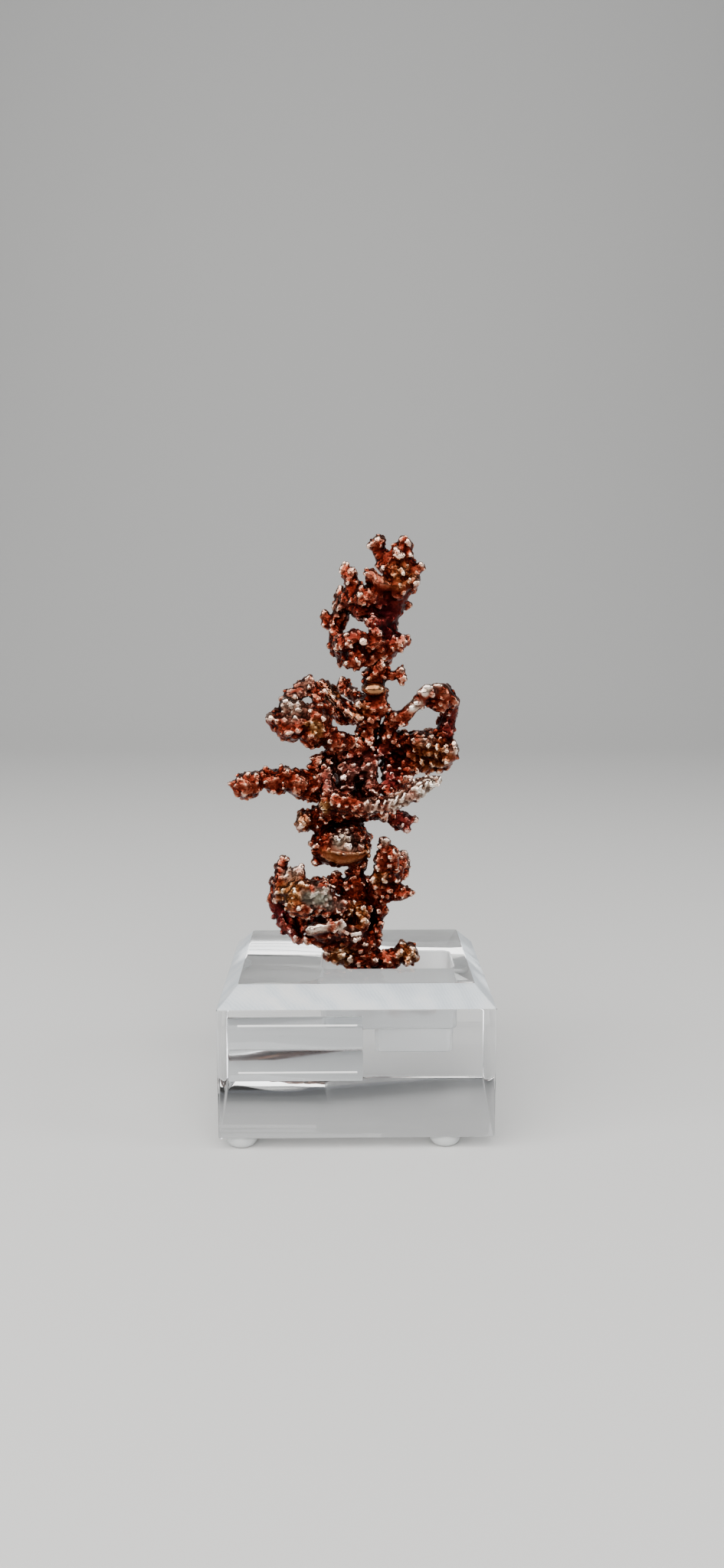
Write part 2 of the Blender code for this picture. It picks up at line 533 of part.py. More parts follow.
def boxes_meet(first, second):
    (low_a, high_a), (low_b, high_b) = extent(first), extent(second)
    return all(low_a[i] < high_b[i] and low_b[i] < high_a[i] for i in range(3))


def make_copper(home, cutters, finish):
    """Grow every branch, and cut each back from the swollen copies of those before it."""
    kept = []
    for branch in BRANCHES:
        body = grow(branch, home, finish)
        for cutter in kept:
            if boxes_meet(body, cutter):
                split = body.modifiers.new("split", "BOOLEAN")
                split.operation = "DIFFERENCE"
                split.object = cutter
                apply_modifiers(body)
                largest_island(body.data)
        thin_to(body, branch["faces"])
        kept.append(swollen_copy(body, cutters))


def build():
    fresh_scene()
    home = collection("native_copper_on_block")
    cutters = collection("cutters")
    acrylic = material("clear_acrylic", (0.92, 0.95, 0.95), 0.05, transmission=1.0, ior=1.49)
    silicone = material("clear_bumper", (0.85, 0.87, 0.86), 0.25, transmission=0.8, ior=1.41)
    film = material("label_film", (0.8, 0.82, 0.82), 0.3, transmission=0.7, ior=1.45)
    copper = material("native_copper", (0.62, 0.26, 0.13), 0.3, metallic=1.0)
    make_block(home, cutters, acrylic)
    make_label(home, film)
    make_feet(home, silicone)
    make_copper(home, cutters, copper)


build()
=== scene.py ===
"""Branching native copper in the frosted pocket of a clear acrylic display block: its looks.

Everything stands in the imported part's own frame: metres, +Z up, +Y to the back, with the label's
side facing -Y. Sizes below are in millimetres and are turned to metres by MM.
"""
import math
from collections import namedtuple

import bmesh
import bpy
import numpy as np
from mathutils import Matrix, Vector, noise


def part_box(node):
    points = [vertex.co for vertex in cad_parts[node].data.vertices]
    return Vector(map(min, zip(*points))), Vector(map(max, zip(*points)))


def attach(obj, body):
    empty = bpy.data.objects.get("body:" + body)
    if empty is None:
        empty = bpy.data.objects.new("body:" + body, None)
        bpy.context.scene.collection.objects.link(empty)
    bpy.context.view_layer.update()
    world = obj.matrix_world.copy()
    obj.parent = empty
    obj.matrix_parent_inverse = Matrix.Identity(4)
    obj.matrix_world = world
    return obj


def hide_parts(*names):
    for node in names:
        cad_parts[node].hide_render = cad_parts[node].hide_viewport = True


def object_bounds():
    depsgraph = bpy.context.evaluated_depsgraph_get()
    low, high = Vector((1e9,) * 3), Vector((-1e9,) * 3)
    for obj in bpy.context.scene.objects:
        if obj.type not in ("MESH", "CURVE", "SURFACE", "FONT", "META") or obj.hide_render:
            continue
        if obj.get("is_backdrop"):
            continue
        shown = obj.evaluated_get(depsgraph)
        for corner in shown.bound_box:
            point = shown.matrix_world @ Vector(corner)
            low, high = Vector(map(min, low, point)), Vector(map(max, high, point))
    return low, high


MM = 0.001

# ---- the display block ----
BLOCK_LENGTH = 50.0
BLOCK_DEPTH = 40.0
BLOCK_BOTTOM = 2.3
BLOCK_TOP = 30.3
BLOCK_BEVEL = 3.75
BLOCK_MIDDLE_Y = 0.125
BLOCK_EDGE = 0.22
BLOCK_CORNER = 0.35
POCKET = dict(low=(-6.5, -8.3), high=(18.4, 2.3), floor=19.0, corner=1.5)
WELL = dict(low=(3.5, -8.0), high=(17.8, 2.0), floor=14.8, corner=1.5)
POCKET_FILLET = 0.55
POCKET_LIP = 0.18
CUTTER_OVERSHOOT = 2.0
FILLET_STEPS = 3
CORNER_STEPS = 5
BLOCK_SHARP = 28.0

# ---- the bumper feet ----
FOOT_RADIUS = 3.0
FOOT_CONTACT = 1.8
FOOT_DOME_TOP = 1.5
FOOT_TOP = 2.28
FOOT_GLUE = 0.16
FOOT_SHOULDER, FOOT_NECK, FOOT_GLUE_INSET = 0.12, 0.08, 0.10
FOOT_DOME_STEPS = 8
FOOT_SEGMENTS = 48
FOOT_PLACES = {
    "foot_front_left": (-21.0, -16.675),
    "foot_front_right": (16.2, -16.675),
    "foot_rear_left": (-21.2, 16.625),
    "foot_rear_right": (21.8, 16.625),
}

# ---- the label's printed rules ----
RULE_LEFT, RULE_RIGHT = -21.2, 0.1
RULE_HEIGHT = 0.36
PRINT_RAISE = 0.02
FILM_CORNER, FILM_EDGE, FILM_STEP = 0.35, 0.04, 0.03
RULE_CORNER, RULE_EDGE = 0.11, 0.03
RULE_LEVELS = {"label_upper_rule": 23.85, "label_lower_rule": 15.05}
RULE_BACK, RULE_FRONT = -20.03, -20.123

# ---- the copper's grain ----
COARSE_VOXEL = 0.24
VOXEL = 0.14
SEED = 4100
KEEP_FACES = 0.6
BOX_MARGIN = 0.005
# One layer of lumps: how far apart they sit, their smallest and largest radius, the lowest and highest
# that a centre lies above the skin (in radii), how uneven they are, and the share of the places kept.
Layer = namedtuple("Layer", "spacing small large lowest highest uneven share")
KNOBS = Layer(1.42, 0.60, 1.00, -0.70, -0.14, 0.34, 0.95)
GRANULES = [
    Layer(0.90, 0.36, 0.56, -0.70, -0.30, 0.34, 0.34),
    Layer(0.62, 0.22, 0.30, -0.66, -0.25, 0.25, 0.06),
]
# the lumps that stand out most; their tops carry a painted highlight
STANDING = Layer(2.20, 0.42, 0.74, -0.42, 0.00, 0.32, 0.62)
CLUMP_SCALE, CLUMP_WEIGHT, CLUMP_SLACK = 0.55, 0.5, 0.1

# blunt cubic crystals among the lumps
CRYSTAL_SHARE = 0.50
CRYSTAL_FLAT = 0.68
CRYSTAL_SWELL = 1.10

# small buds on the sides of some lumps; sizes and reach are in the lump's radii
BUD_SHARE = 0.18
BUD_STRAY = 0.6
BUD_SMALL, BUD_LARGE = 0.62, 0.85
BUD_REACH = 0.7
BUD_UNEVEN = 0.2

# the skin under the lumps, and the fine grain on top of them
SKIN_SWELL = 0.10
SKIN_ROUNDING = 2
SKIN_WAVE_SCALE, SKIN_WAVE_HEIGHT = 0.42, 0.28
GRAIN_WAVES = ((1.3, 0.10), (2.9, 0.11))
SMOOTH_SHARE = 0.8

# how the relief is judged: rounds of averaging, and the height that counts as full relief
CLOSE_ROUNDS, CLOSE_HEIGHT = 30, 0.90
WIDE_ROUNDS, WIDE_HEIGHT = 110, 1.80
LEVEL_RELIEF = 0.36

# painted highlights on lump tops: how far past its radius a lump's painted highlight reaches, how strongly,
# and how fast hollows lose it
PAINTED_HIGHLIGHT_REACH, PAINTED_HIGHLIGHT_STRENGTH = 1.6, 0.55
PAINTED_HIGHLIGHT_CLIMB = 1.5
# how the edges of the coloured regions wander
WANDER_SCALE, WANDER_REACH = 0.9, 0.9
WANDER_SHIFTS = (0.0, 31.0, 57.0)
# a region's strength is full near its centre and falls to nothing past its radius
REGION_TOP, REGION_FALL = 1.8, 1.5


# ---------------------------------------------------------------- mesh helpers
def new_mesh(name, points, faces):
    """A mesh from arrays of points (in millimetres) and of triangles."""
    mesh = bpy.data.meshes.new(name)
    mesh.vertices.add(len(points))
    mesh.vertices.foreach_set("co", np.asarray(points, np.float32).ravel())
    mesh.loops.add(faces.size)
    mesh.loops.foreach_set("vertex_index", np.asarray(faces, np.int32).ravel())
    mesh.polygons.add(len(faces))
    mesh.polygons.foreach_set("loop_start", np.arange(0, faces.size, 3, dtype=np.int32))
    mesh.update(calc_edges=True)
    return mesh


def points_of(mesh):
    flat = np.empty(len(mesh.vertices) * 3, np.float32)
    mesh.vertices.foreach_get("co", flat)
    return flat.reshape(-1, 3).astype(float)


def triangles_of(mesh):
    mesh.calc_loop_triangles()
    flat = np.empty(len(mesh.loop_triangles) * 3, np.int32)
    mesh.loop_triangles.foreach_get("vertices", flat)
    return flat.reshape(-1, 3)


def edges_of(mesh):
    flat = np.empty(len(mesh.edges) * 2, np.int32)
    mesh.edges.foreach_get("vertices", flat)
    return flat.reshape(-1, 2)


def normals_of(points, faces):
    a, b, c = points[faces[:, 0]], points[faces[:, 1]], points[faces[:, 2]]
    across = np.cross(b - a, c - a)
    total = np.zeros_like(points)
    for corner in range(3):
        for axis in range(3):
            total[:, axis] += np.bincount(faces[:, corner], across[:, axis], len(points))
    return total / np.maximum(np.linalg.norm(total, axis=1), 1e-12)[:, None]


def neighbour_mean(values, edges):
    """The mean over each point's neighbours."""
    count = np.bincount(edges.ravel(), minlength=len(values)).astype(float)
    total = np.empty_like(values)
    for axis in range(values.shape[1]):
        total[:, axis] = np.bincount(edges[:, 0], values[edges[:, 1], axis], len(values))
        total[:, axis] += np.bincount(edges[:, 1], values[edges[:, 0], axis], len(values))
    return total / np.maximum(count, 1.0)[:, None]


def add_object(name, mesh):
    made = bpy.data.objects.new(name, mesh)
    bpy.context.scene.collection.objects.link(made)
    return made


def applied(item):
    """The object's mesh as its modifiers leave it, with the object gone."""
    bpy.context.view_layer.update()
    graph = bpy.context.evaluated_depsgraph_get()
    finished = bpy.data.meshes.new_from_object(item.evaluated_get(graph))
    old = item.data
    bpy.data.objects.remove(item)
    bpy.data.meshes.remove(old)
    return finished


# ---------------------------------------------------------------- node helpers
class Shader:
    """A material's node tree, with short calls to add and link its nodes."""

    def __init__(self, name):
        self.material = bpy.data.materials.new(name)
        self.material.use_nodes = True
        self.tree = self.material.node_tree
        self.surface = self.tree.nodes["Principled BSDF"]

    def node(self, kind, settings=None, **inputs):
        made = self.tree.nodes.new(kind)
        for key, value in (settings or {}).items():
            setattr(made, key, value)
        for key, value in inputs.items():
            self.give(made.inputs[key.replace("_", " ")], value)
        return made

    def give(self, socket, value):
        if isinstance(value, bpy.types.NodeSocket):
            self.tree.links.new(value, socket)
        else:
            socket.default_value = value

    def set(self, **inputs):
        for key, value in inputs.items():
            self.give(self.surface.inputs[key.replace("_", " ")], value)

    def math(self, operation, first, second=0.0, clamp=False):
        made = self.tree.nodes.new("ShaderNodeMath")
        made.operation = operation
        made.use_clamp = clamp
        self.give(made.inputs[0], first)
        self.give(made.inputs[1], second)
        return made.outputs[0]

    def mix(self, share, first, second):
        made = self.tree.nodes.new("ShaderNodeMix")
        made.data_type = "RGBA"
        self.give(made.inputs[0], share)
        self.give(made.inputs[6], first)
        self.give(made.inputs[7], second)
        return made.outputs[2]

    def ramp(self, value, stops):
        made = self.tree.nodes.new("ShaderNodeValToRGB")
        self.give(made.inputs[0], value)
        bar = made.color_ramp
        while len(bar.elements) < len(stops):
            bar.elements.new(0.5)
        for element, (place, colour) in zip(bar.elements, stops):
            element.position = place
            element.color = (*colour, 1.0)
        return made.outputs[0]

    def place(self):
        """The position on the object, in metres."""
        return self.node("ShaderNodeTexCoord").outputs["Object"]

    def noise(self, scale, detail, roughness):
        made = self.node("ShaderNodeTexNoise", Scale=scale, Detail=detail, Roughness=roughness)
        self.give(made.inputs["Vector"], self.place())
        return made.outputs["Fac"]

    def attribute(self, name):
        return self.node("ShaderNodeAttribute", {"attribute_name": name})

    def bump(self, height, strength, distance):
        made = self.node("ShaderNodeBump", Strength=strength, Distance=distance, Height=height)
        return made.outputs["Normal"]

    def around(self, base, value, share):
        """A base value with a share of another added to it."""
        return self.math("ADD", base, self.math("MULTIPLY", value, share))


# ---------------------------------------------------------------- materials
def copper_material():
    """The metal: painted shade darkens the hollows and a painted highlight pales the tops, with regions of
    other tones.
    """
    made = Shader("native_copper_metal")
    relief = made.attribute("relief").outputs["Fac"]
    wear_and_painted_light = made.attribute("wear_and_painted_light").outputs["Fac"]
    tones = made.node("ShaderNodeSeparateColor", Color=made.attribute("tones").outputs["Color"])
    silver, gold, maroon_and_shade = (tones.outputs[k] for k in ("Red", "Green", "Blue"))
    tarnish = made.attribute("tarnish").outputs["Fac"]

    patches = made.noise(520.0, 3.0, 0.6)
    grain = made.noise(3200.0, 4.0, 0.65)
    height = made.around(relief, made.math("SUBTRACT", patches, 0.5), 0.45)
    height = made.around(height, made.math("SUBTRACT", grain, 0.5), 0.25)
    # painted highlights on lump tops, and painted light and shade by region, raise or lower the height the
    # ramps read
    height = made.math("ADD", height, made.math("MULTIPLY", wear_and_painted_light, 0.26), True)
    # painted light: each ramp runs from painted shade in the hollows to a painted highlight on the tops
    colour = made.ramp(height, [
        (0.10, (0.010, 0.0007, 0.0005)),
        (0.36, (0.060, 0.0054, 0.0026)),
        (0.58, (0.142, 0.0215, 0.0105)),
        (0.80, (0.335, 0.1130, 0.0650)),
        (1.00, (0.790, 0.5400, 0.4150)),
    ])
    silvery = made.ramp(height, [
        (0.18, (0.026, 0.008, 0.005)),
        (0.50, (0.130, 0.082, 0.056)),
        (0.76, (0.480, 0.390, 0.310)),
        (0.97, (0.910, 0.840, 0.760)),
    ])
    golden = made.ramp(height, [
        (0.16, (0.026, 0.0040, 0.0014)),
        (0.50, (0.120, 0.0420, 0.0120)),
        (0.76, (0.400, 0.2150, 0.0900)),
        (0.96, (0.880, 0.6900, 0.4900)),
    ])
    # the maroon tint: partly a real deeper tone, partly painted shade on dim regions
    maroon_and_shade_tint = made.ramp(height, [
        (0.12, (0.012, 0.001, 0.002)),
        (0.60, (0.090, 0.010, 0.012)),
        (0.82, (0.330, 0.110, 0.110)),
        (0.96, (0.700, 0.440, 0.430)),
    ])
    dull = made.ramp(height, [
        (0.22, (0.030, 0.022, 0.013)),
        (0.52, (0.120, 0.115, 0.082)),
        (0.86, (0.430, 0.440, 0.370)),
    ])
    for share, tint in ((gold, golden), (maroon_and_shade, maroon_and_shade_tint), (silver, silvery), (tarnish, dull)):
        colour = made.mix(share, colour, tint)
    rough = made.around(0.18, made.math("SUBTRACT", 0.80, height, True), 0.28)
    rough = made.math("ADD", rough, made.math("MULTIPLY", tarnish, 0.25), True)
    fine = made.bump(grain, 0.45, 0.00005)
    made.set(Base_Color=colour, Metallic=made.math("SUBTRACT", 1.0, made.math("MULTIPLY", tarnish, 0.45)),
             Roughness=rough, Normal=fine)
    return made.material


def polished_acrylic():
    """The clear faces, with a few faint smears."""
    made = Shader("acrylic_polished")
    smear = made.noise(90.0, 2.0, 0.5)
    made.set(Base_Color=(0.985, 0.992, 1.0, 1.0), Transmission_Weight=1.0, IOR=1.49,
             Roughness=made.math("MULTIPLY", made.math("SUBTRACT", smear, 0.62, True), 0.12))
    return made.material


def satin_acrylic():
    """The cut bevels: hazy, with faint curved tool marks of uneven depth."""
    made = Shader("acrylic_satin_bevel")
    turned = made.node("ShaderNodeMapping", Vector=made.place())
    turned.inputs["Location"].default_value = (0.045, 0.060, 0.0)
    rings = {"wave_type": "RINGS", "rings_direction": "Z"}
    place = turned.outputs["Vector"]
    arcs = made.node("ShaderNodeTexWave", rings, Scale=60.0, Distortion=7.0, Detail=5.0, Detail_Scale=1.6,
                     Vector=place)
    fine_arcs = made.node("ShaderNodeTexWave", rings, Scale=640.0, Distortion=5.0, Detail=4.0, Vector=place)
    haze = made.noise(55.0, 4.0, 0.55)
    depth = made.math("MULTIPLY", arcs.outputs["Fac"], made.math("SUBTRACT", haze, 0.30, True))
    marks = made.around(made.math("MULTIPLY", depth, 0.9), haze, 0.5)
    marks = made.around(marks, fine_arcs.outputs["Fac"], 0.09)
    tint = made.ramp(marks, [
        (0.18, (0.60, 0.68, 0.75)),
        (0.34, (0.80, 0.87, 0.93)),
        (0.55, (0.97, 0.99, 1.00)),
    ])
    made.set(Base_Color=tint, Transmission_Weight=0.50, IOR=1.49, Roughness=made.around(0.22, marks, 0.30),
             Normal=made.bump(marks, 0.22, 0.00006))
    return made.material


def frosted_acrylic():
    """The milled walls of the pocket."""
    made = Shader("acrylic_frosted_pocket")
    chatter = made.noise(900.0, 4.0, 0.7)
    cloud = made.noise(140.0, 3.0, 0.55)
    made.set(Base_Color=(0.95, 0.97, 0.98, 1.0), Transmission_Weight=0.42, IOR=1.49,
             Roughness=made.around(0.38, cloud, 0.25), Normal=made.bump(chatter, 0.6, 0.00008))
    return made.material


def clear_rubber():
    """The bumper feet's slightly cloudy body."""
    made = Shader("clear_rubber")
    cloud = made.noise(500.0, 3.0, 0.6)
    made.set(Base_Color=(0.93, 0.95, 0.95, 1.0), Transmission_Weight=0.48, IOR=1.43,
             Roughness=made.around(0.16, cloud, 0.12), Normal=made.bump(cloud, 0.2, 0.00004))
    return made.material


def foot_glue():
    """The thin adhesive between a bumper foot and the block."""
    made = Shader("bumper_adhesive")
    cloud = made.noise(1200.0, 4.0, 0.7)
    made.set(Base_Color=made.ramp(cloud, [(0.3, (0.62, 0.65, 0.66)), (0.7, (0.86, 0.88, 0.88))]),
             Transmission_Weight=0.25, IOR=1.47, Roughness=made.around(0.35, cloud, 0.2))
    return made.material


def label_film():
    """The label's clear film, dragged a little dull."""
    made = Shader("label_film_clear")
    drag = made.noise(220.0, 3.0, 0.6)
    made.set(Base_Color=(0.84, 0.86, 0.88, 1.0), Transmission_Weight=1.0, IOR=1.47,
             Roughness=made.math("MULTIPLY", drag, 0.16))
    return made.material


def white_print():
    """The label's rules: white, with a little wear."""
    made = Shader("label_white_print")
    wear_and_painted_light = made.noise(3000.0, 3.0, 0.7)
    made.set(Base_Color=made.ramp(wear_and_painted_light, [(0.20, (0.84, 0.85, 0.86)), (0.5, (0.95, 0.95, 0.95))]),
             Roughness=made.around(0.35, wear_and_painted_light, 0.2))
    return made.material


def sweep_paper():
    """The pale floor's paper."""
    made = Shader("pale_sweep")
    tooth = made.noise(900.0, 2.0, 0.5)
    made.set(Base_Color=(0.62, 0.62, 0.61, 1.0), Roughness=made.around(0.55, tooth, 0.1))
    return made.material


# ---------------------------------------------------------------- stacked rings
def rounded_ring(low, high, corner, level):
    """A rounded rectangle's points, anticlockwise, at one level."""
    points = []
    corners = ((high[0], high[1]), (low[0], high[1]), (low[0], low[1]), (high[0], low[1]))
    for turn, (x, y) in enumerate(corners):
        inner = (x - corner if x == high[0] else x + corner, y - corner if y == high[1] else y + corner)
        for step in range(CORNER_STEPS + 1):
            angle = math.pi / 2 * (turn + step / CORNER_STEPS)
            points.append((inner[0] + corner * math.cos(angle), inner[1] + corner * math.sin(angle), level))
    return points


def round_ring(centre, radius, level):
    turns = [2 * math.pi * k / FOOT_SEGMENTS for k in range(FOOT_SEGMENTS)]
    return [(centre[0] + radius * math.cos(a), centre[1] + radius * math.sin(a), level) for a in turns]


def stacked(name, rings, finishes):
    """A closed body through rings of equal length, from the bottom up, with one finish a band."""
    bm = bmesh.new()
    loops = [[bm.verts.new(Vector(p) * MM) for p in ring] for ring in rings]
    bottom = bm.faces.new(list(reversed(loops[0])))
    bottom.material_index = finishes[0]
    for lower, upper, finish in zip(loops, loops[1:], finishes[1:]):
        for k in range(len(lower)):
            after = (k + 1) % len(lower)
            face = bm.faces.new((lower[k], lower[after], upper[after], upper[k]))
            face.material_index = finish
    top = bm.faces.new(loops[-1])
    top.material_index = finishes[-1]
    mesh = bpy.data.meshes.new(name)
    bm.to_mesh(mesh)
    bm.free()
    return mesh


def smooth_but_sharp(mesh, degrees):
    mesh.shade_smooth()
    mesh.set_sharp_from_angle(angle=math.radians(degrees))


def inset_ring(low, high, inset, corner, level):
    return rounded_ring((low[0] + inset, low[1] + inset), (high[0] - inset, high[1] - inset), corner, level)


def pocket_cutter(name, size, finish):
    """A milled pocket's inside: filleted floor, upright walls, a small broken edge at the top."""
    low, high, corner = size["low"], size["high"], size["corner"]
    rings = []
    for step in range(FILLET_STEPS + 1):
        turn = math.pi / 2 * step / FILLET_STEPS
        inset = POCKET_FILLET * (1 - math.sin(turn))
        level = size["floor"] + POCKET_FILLET * (1 - math.cos(turn))
        rings.append(inset_ring(low, high, inset, corner - inset, level))
    rings.append(inset_ring(low, high, 0.0, corner, BLOCK_TOP - POCKET_LIP))
    rings.append(inset_ring(low, high, -POCKET_LIP, corner + POCKET_LIP, BLOCK_TOP))
    rings.append(inset_ring(low, high, -POCKET_LIP, corner + POCKET_LIP, BLOCK_TOP + CUTTER_OVERSHOOT))
    return stacked(name, rings, [finish] * (len(rings) + 1))


def make_block():
    polished, satin, frosted = 0, 1, 2
    half_x, half_y = BLOCK_LENGTH / 2, BLOCK_DEPTH / 2
    low, high = (-half_x, BLOCK_MIDDLE_Y - half_y), (half_x, BLOCK_MIDDLE_Y + half_y)
    shoulder = BLOCK_TOP - BLOCK_BEVEL
    ease = BLOCK_EDGE * 0.5
    rings = [
        inset_ring(low, high, BLOCK_EDGE, BLOCK_CORNER, BLOCK_BOTTOM),
        inset_ring(low, high, BLOCK_EDGE * 0.3, BLOCK_CORNER, BLOCK_BOTTOM + BLOCK_EDGE * 0.3),
        inset_ring(low, high, 0.0, BLOCK_CORNER, BLOCK_BOTTOM + BLOCK_EDGE),
        inset_ring(low, high, 0.0, BLOCK_CORNER, shoulder - ease),
        inset_ring(low, high, ease, BLOCK_CORNER, shoulder + ease),
        inset_ring(low, high, BLOCK_BEVEL - ease, BLOCK_CORNER, BLOCK_TOP - ease),
        inset_ring(low, high, BLOCK_BEVEL + ease, BLOCK_CORNER, BLOCK_TOP),
    ]
    bands = [polished] * 5 + [satin] + [polished] * 2
    block = add_object("acrylic_block", stacked("acrylic_block", rings, bands))
    finishes = (polished_acrylic(), satin_acrylic(), frosted_acrylic())
    for finish in finishes:
        block.data.materials.append(finish)
    cutters = []
    for name, size in (("pocket_cut", POCKET), ("well_cut", WELL)):
        cutter = add_object(name, pocket_cutter(name, size, frosted))
        for finish in finishes:
            cutter.data.materials.append(finish)
        cut = block.modifiers.new(name, "BOOLEAN")
        cut.operation = "DIFFERENCE"
        cut.solver = "EXACT"
        cut.object = cutter
        cutters.append(cutter)
    mesh = applied(block)
    for cutter in cutters:
        bpy.data.objects.remove(cutter)
    smooth_but_sharp(mesh, BLOCK_SHARP)
    piece = add_object("acrylic_block", mesh)
    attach(piece, "root")
    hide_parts("display_block")


def make_feet():
    rubber, glue = clear_rubber(), foot_glue()
    for node, (x, y) in FOOT_PLACES.items():
        rings = [round_ring((x, y), FOOT_CONTACT, 0.0)]
        for step in range(1, FOOT_DOME_STEPS + 1):
            turn = math.pi / 2 * step / FOOT_DOME_STEPS
            across = FOOT_CONTACT + (FOOT_RADIUS - FOOT_CONTACT) * math.sin(turn)
            rings.append(round_ring((x, y), across, FOOT_DOME_TOP * (1 - math.cos(turn))))
        rings.append(round_ring((x, y), FOOT_RADIUS, FOOT_TOP - FOOT_GLUE - FOOT_SHOULDER))
        rings.append(round_ring((x, y), FOOT_RADIUS - FOOT_NECK, FOOT_TOP - FOOT_GLUE))
        rings.append(round_ring((x, y), FOOT_RADIUS - FOOT_GLUE_INSET, FOOT_TOP))
        mesh = stacked(node, rings, [0] * (len(rings) - 1) + [1, 1])
        mesh.materials.append(rubber)
        mesh.materials.append(glue)
        smooth_but_sharp(mesh, 50.0)
        piece = add_object("bumper_" + node, mesh)
        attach(piece, "root")
        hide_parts(node)


def make_label():
    film, ink = label_film(), white_print()
    for node in ("label_upper_strip", "label_lower_strip"):
        low, high = (Vector(c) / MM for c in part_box(node))
        ring_low, ring_high = (low.x, low.z), (high.x, high.z)
        top = high.y - low.y - PRINT_RAISE
        mesh = stacked(node, [
            inset_ring(ring_low, ring_high, FILM_EDGE, FILM_CORNER, 0.0),
            inset_ring(ring_low, ring_high, 0.0, FILM_CORNER, FILM_STEP),
            inset_ring(ring_low, ring_high, 0.0, FILM_CORNER, top - FILM_STEP),
            inset_ring(ring_low, ring_high, FILM_EDGE, FILM_CORNER, top),
        ], [0] * 5)
        turn_upright(mesh, high.y)
        mesh.materials.append(film)
        smooth_but_sharp(mesh, 30.0)
        piece = add_object("film_" + node, mesh)
        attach(piece, "root")
        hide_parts(node)
    for name, level in RULE_LEVELS.items():
        low, high = (RULE_LEFT, level - RULE_HEIGHT / 2), (RULE_RIGHT, level + RULE_HEIGHT / 2)
        mesh = stacked(name, [
            inset_ring(low, high, RULE_EDGE, RULE_CORNER - RULE_EDGE, 0.0),
            inset_ring(low, high, 0.0, RULE_CORNER, (RULE_BACK - RULE_FRONT) / 2),
            inset_ring(low, high, RULE_EDGE, RULE_CORNER - RULE_EDGE, RULE_BACK - RULE_FRONT),
        ], [0] * 4)
        turn_upright(mesh, RULE_BACK)
        mesh.materials.append(ink)
        smooth_but_sharp(mesh, 40.0)
        piece = add_object(name, mesh)
        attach(piece, "root")


def turn_upright(mesh, back):
    """Turns a flat stack to stand against the plane y = back, built up towards -Y."""
    for vertex in mesh.vertices:
        x, z, out = vertex.co
        vertex.co = (x, back * MM - out, z)
    mesh.update()


# ---------------------------------------------------------------- the copper
def unit_ball(level):
    bm = bmesh.new()
    bmesh.ops.create_icosphere(bm, subdivisions=level, radius=1.0)
    points = np.array([v.co[:] for v in bm.verts])
    faces = np.array([[v.index for v in f.verts] for f in bm.faces])
    bm.free()
    return points, faces


def cad_skin(node, swell):
    """The CAD solid's surface, rounded by subdivision and swollen a little, in millimetres."""
    points = points_of(node.data) / MM
    faces = triangles_of(node.data)
    _, first, joined = np.unique(np.round(points, 4), axis=0, return_index=True, return_inverse=True)
    points, faces = points[first], joined.ravel()[faces]
    whole = (faces[:, 0] != faces[:, 1]) & (faces[:, 1] != faces[:, 2]) & (faces[:, 2] != faces[:, 0])
    item = add_object("skin", new_mesh("skin", points, faces[whole]))
    rounder = item.modifiers.new("rounder", "SUBSURF")
    rounder.levels = SKIN_ROUNDING
    rounder.render_levels = SKIN_ROUNDING
    mesh = applied(item)
    points, faces = points_of(mesh), triangles_of(mesh)
    bpy.data.meshes.remove(mesh)
    return points + normals_of(points, faces) * swell, faces


def scattered(points, faces, spacing, rng):
    """Places on the surface no closer than the spacing, with their outward directions."""
    a, b, c = points[faces[:, 0]], points[faces[:, 1]], points[faces[:, 2]]
    areas = np.linalg.norm(np.cross(b - a, c - a), axis=1) / 2
    tries = int(areas.sum() / spacing ** 2 * 4)
    chosen = rng.choice(len(faces), tries, p=areas / areas.sum())
    u, v = rng.random(tries), rng.random(tries)
    over = u + v > 1
    u[over], v[over] = 1 - u[over], 1 - v[over]
    places = a[chosen] + u[:, None] * (b - a)[chosen] + v[:, None] * (c - a)[chosen]
    outward = np.cross(b - a, c - a)[chosen]
    outward /= np.linalg.norm(outward, axis=1)[:, None]
    grid, kept = {}, []
    for index, place in enumerate(places):
        cell = tuple((place // spacing).astype(int))
        near = [k for dx in (-1, 0, 1) for dy in (-1, 0, 1) for dz in (-1, 0, 1)
                for k in grid.get((cell[0] + dx, cell[1] + dy, cell[2] + dz), ())]
        if all(np.sum((places[k] - place) ** 2) > spacing ** 2 for k in near):
            grid.setdefault(cell, []).append(index)
            kept.append(index)
    return places[kept], outward[kept]


def ball_cloud(centres, radii, rng, uneven, flat=None):
    """Many slightly uneven balls as one set of triangles; flat cuts them to blunt cubic crystals."""
    ball, ball_faces = unit_ball(3 if flat else 2)
    if flat:
        ball = np.clip(ball, -flat, flat)
    count = len(centres)
    turns = rng.normal(size=(count, 3, 3))
    frames = np.linalg.qr(turns)[0]
    stretch = 1.0 + rng.uniform(-uneven, uneven, (count, 1, 3))
    points = np.einsum("kij,knj->kni", frames, ball[None] * stretch) * radii[:, None, None] + centres[:, None]
    faces = ball_faces[None] + (np.arange(count) * len(ball))[:, None, None]
    flipped = np.linalg.det(frames) < 0
    faces[flipped] = faces[flipped][:, :, ::-1]
    return points.reshape(-1, 3), faces.reshape(-1, 3)


def field(points, spots):
    """How strongly each point lies within soft round regions (x, y, z, radius, strength)."""
    share = np.zeros(len(points))
    for x, y, z, radius, strength in spots:
        far = np.linalg.norm(points - (x, y, z), axis=1) / radius
        share = np.maximum(share, strength * np.clip(REGION_TOP - REGION_FALL * far, 0.0, 1.0))
    return share


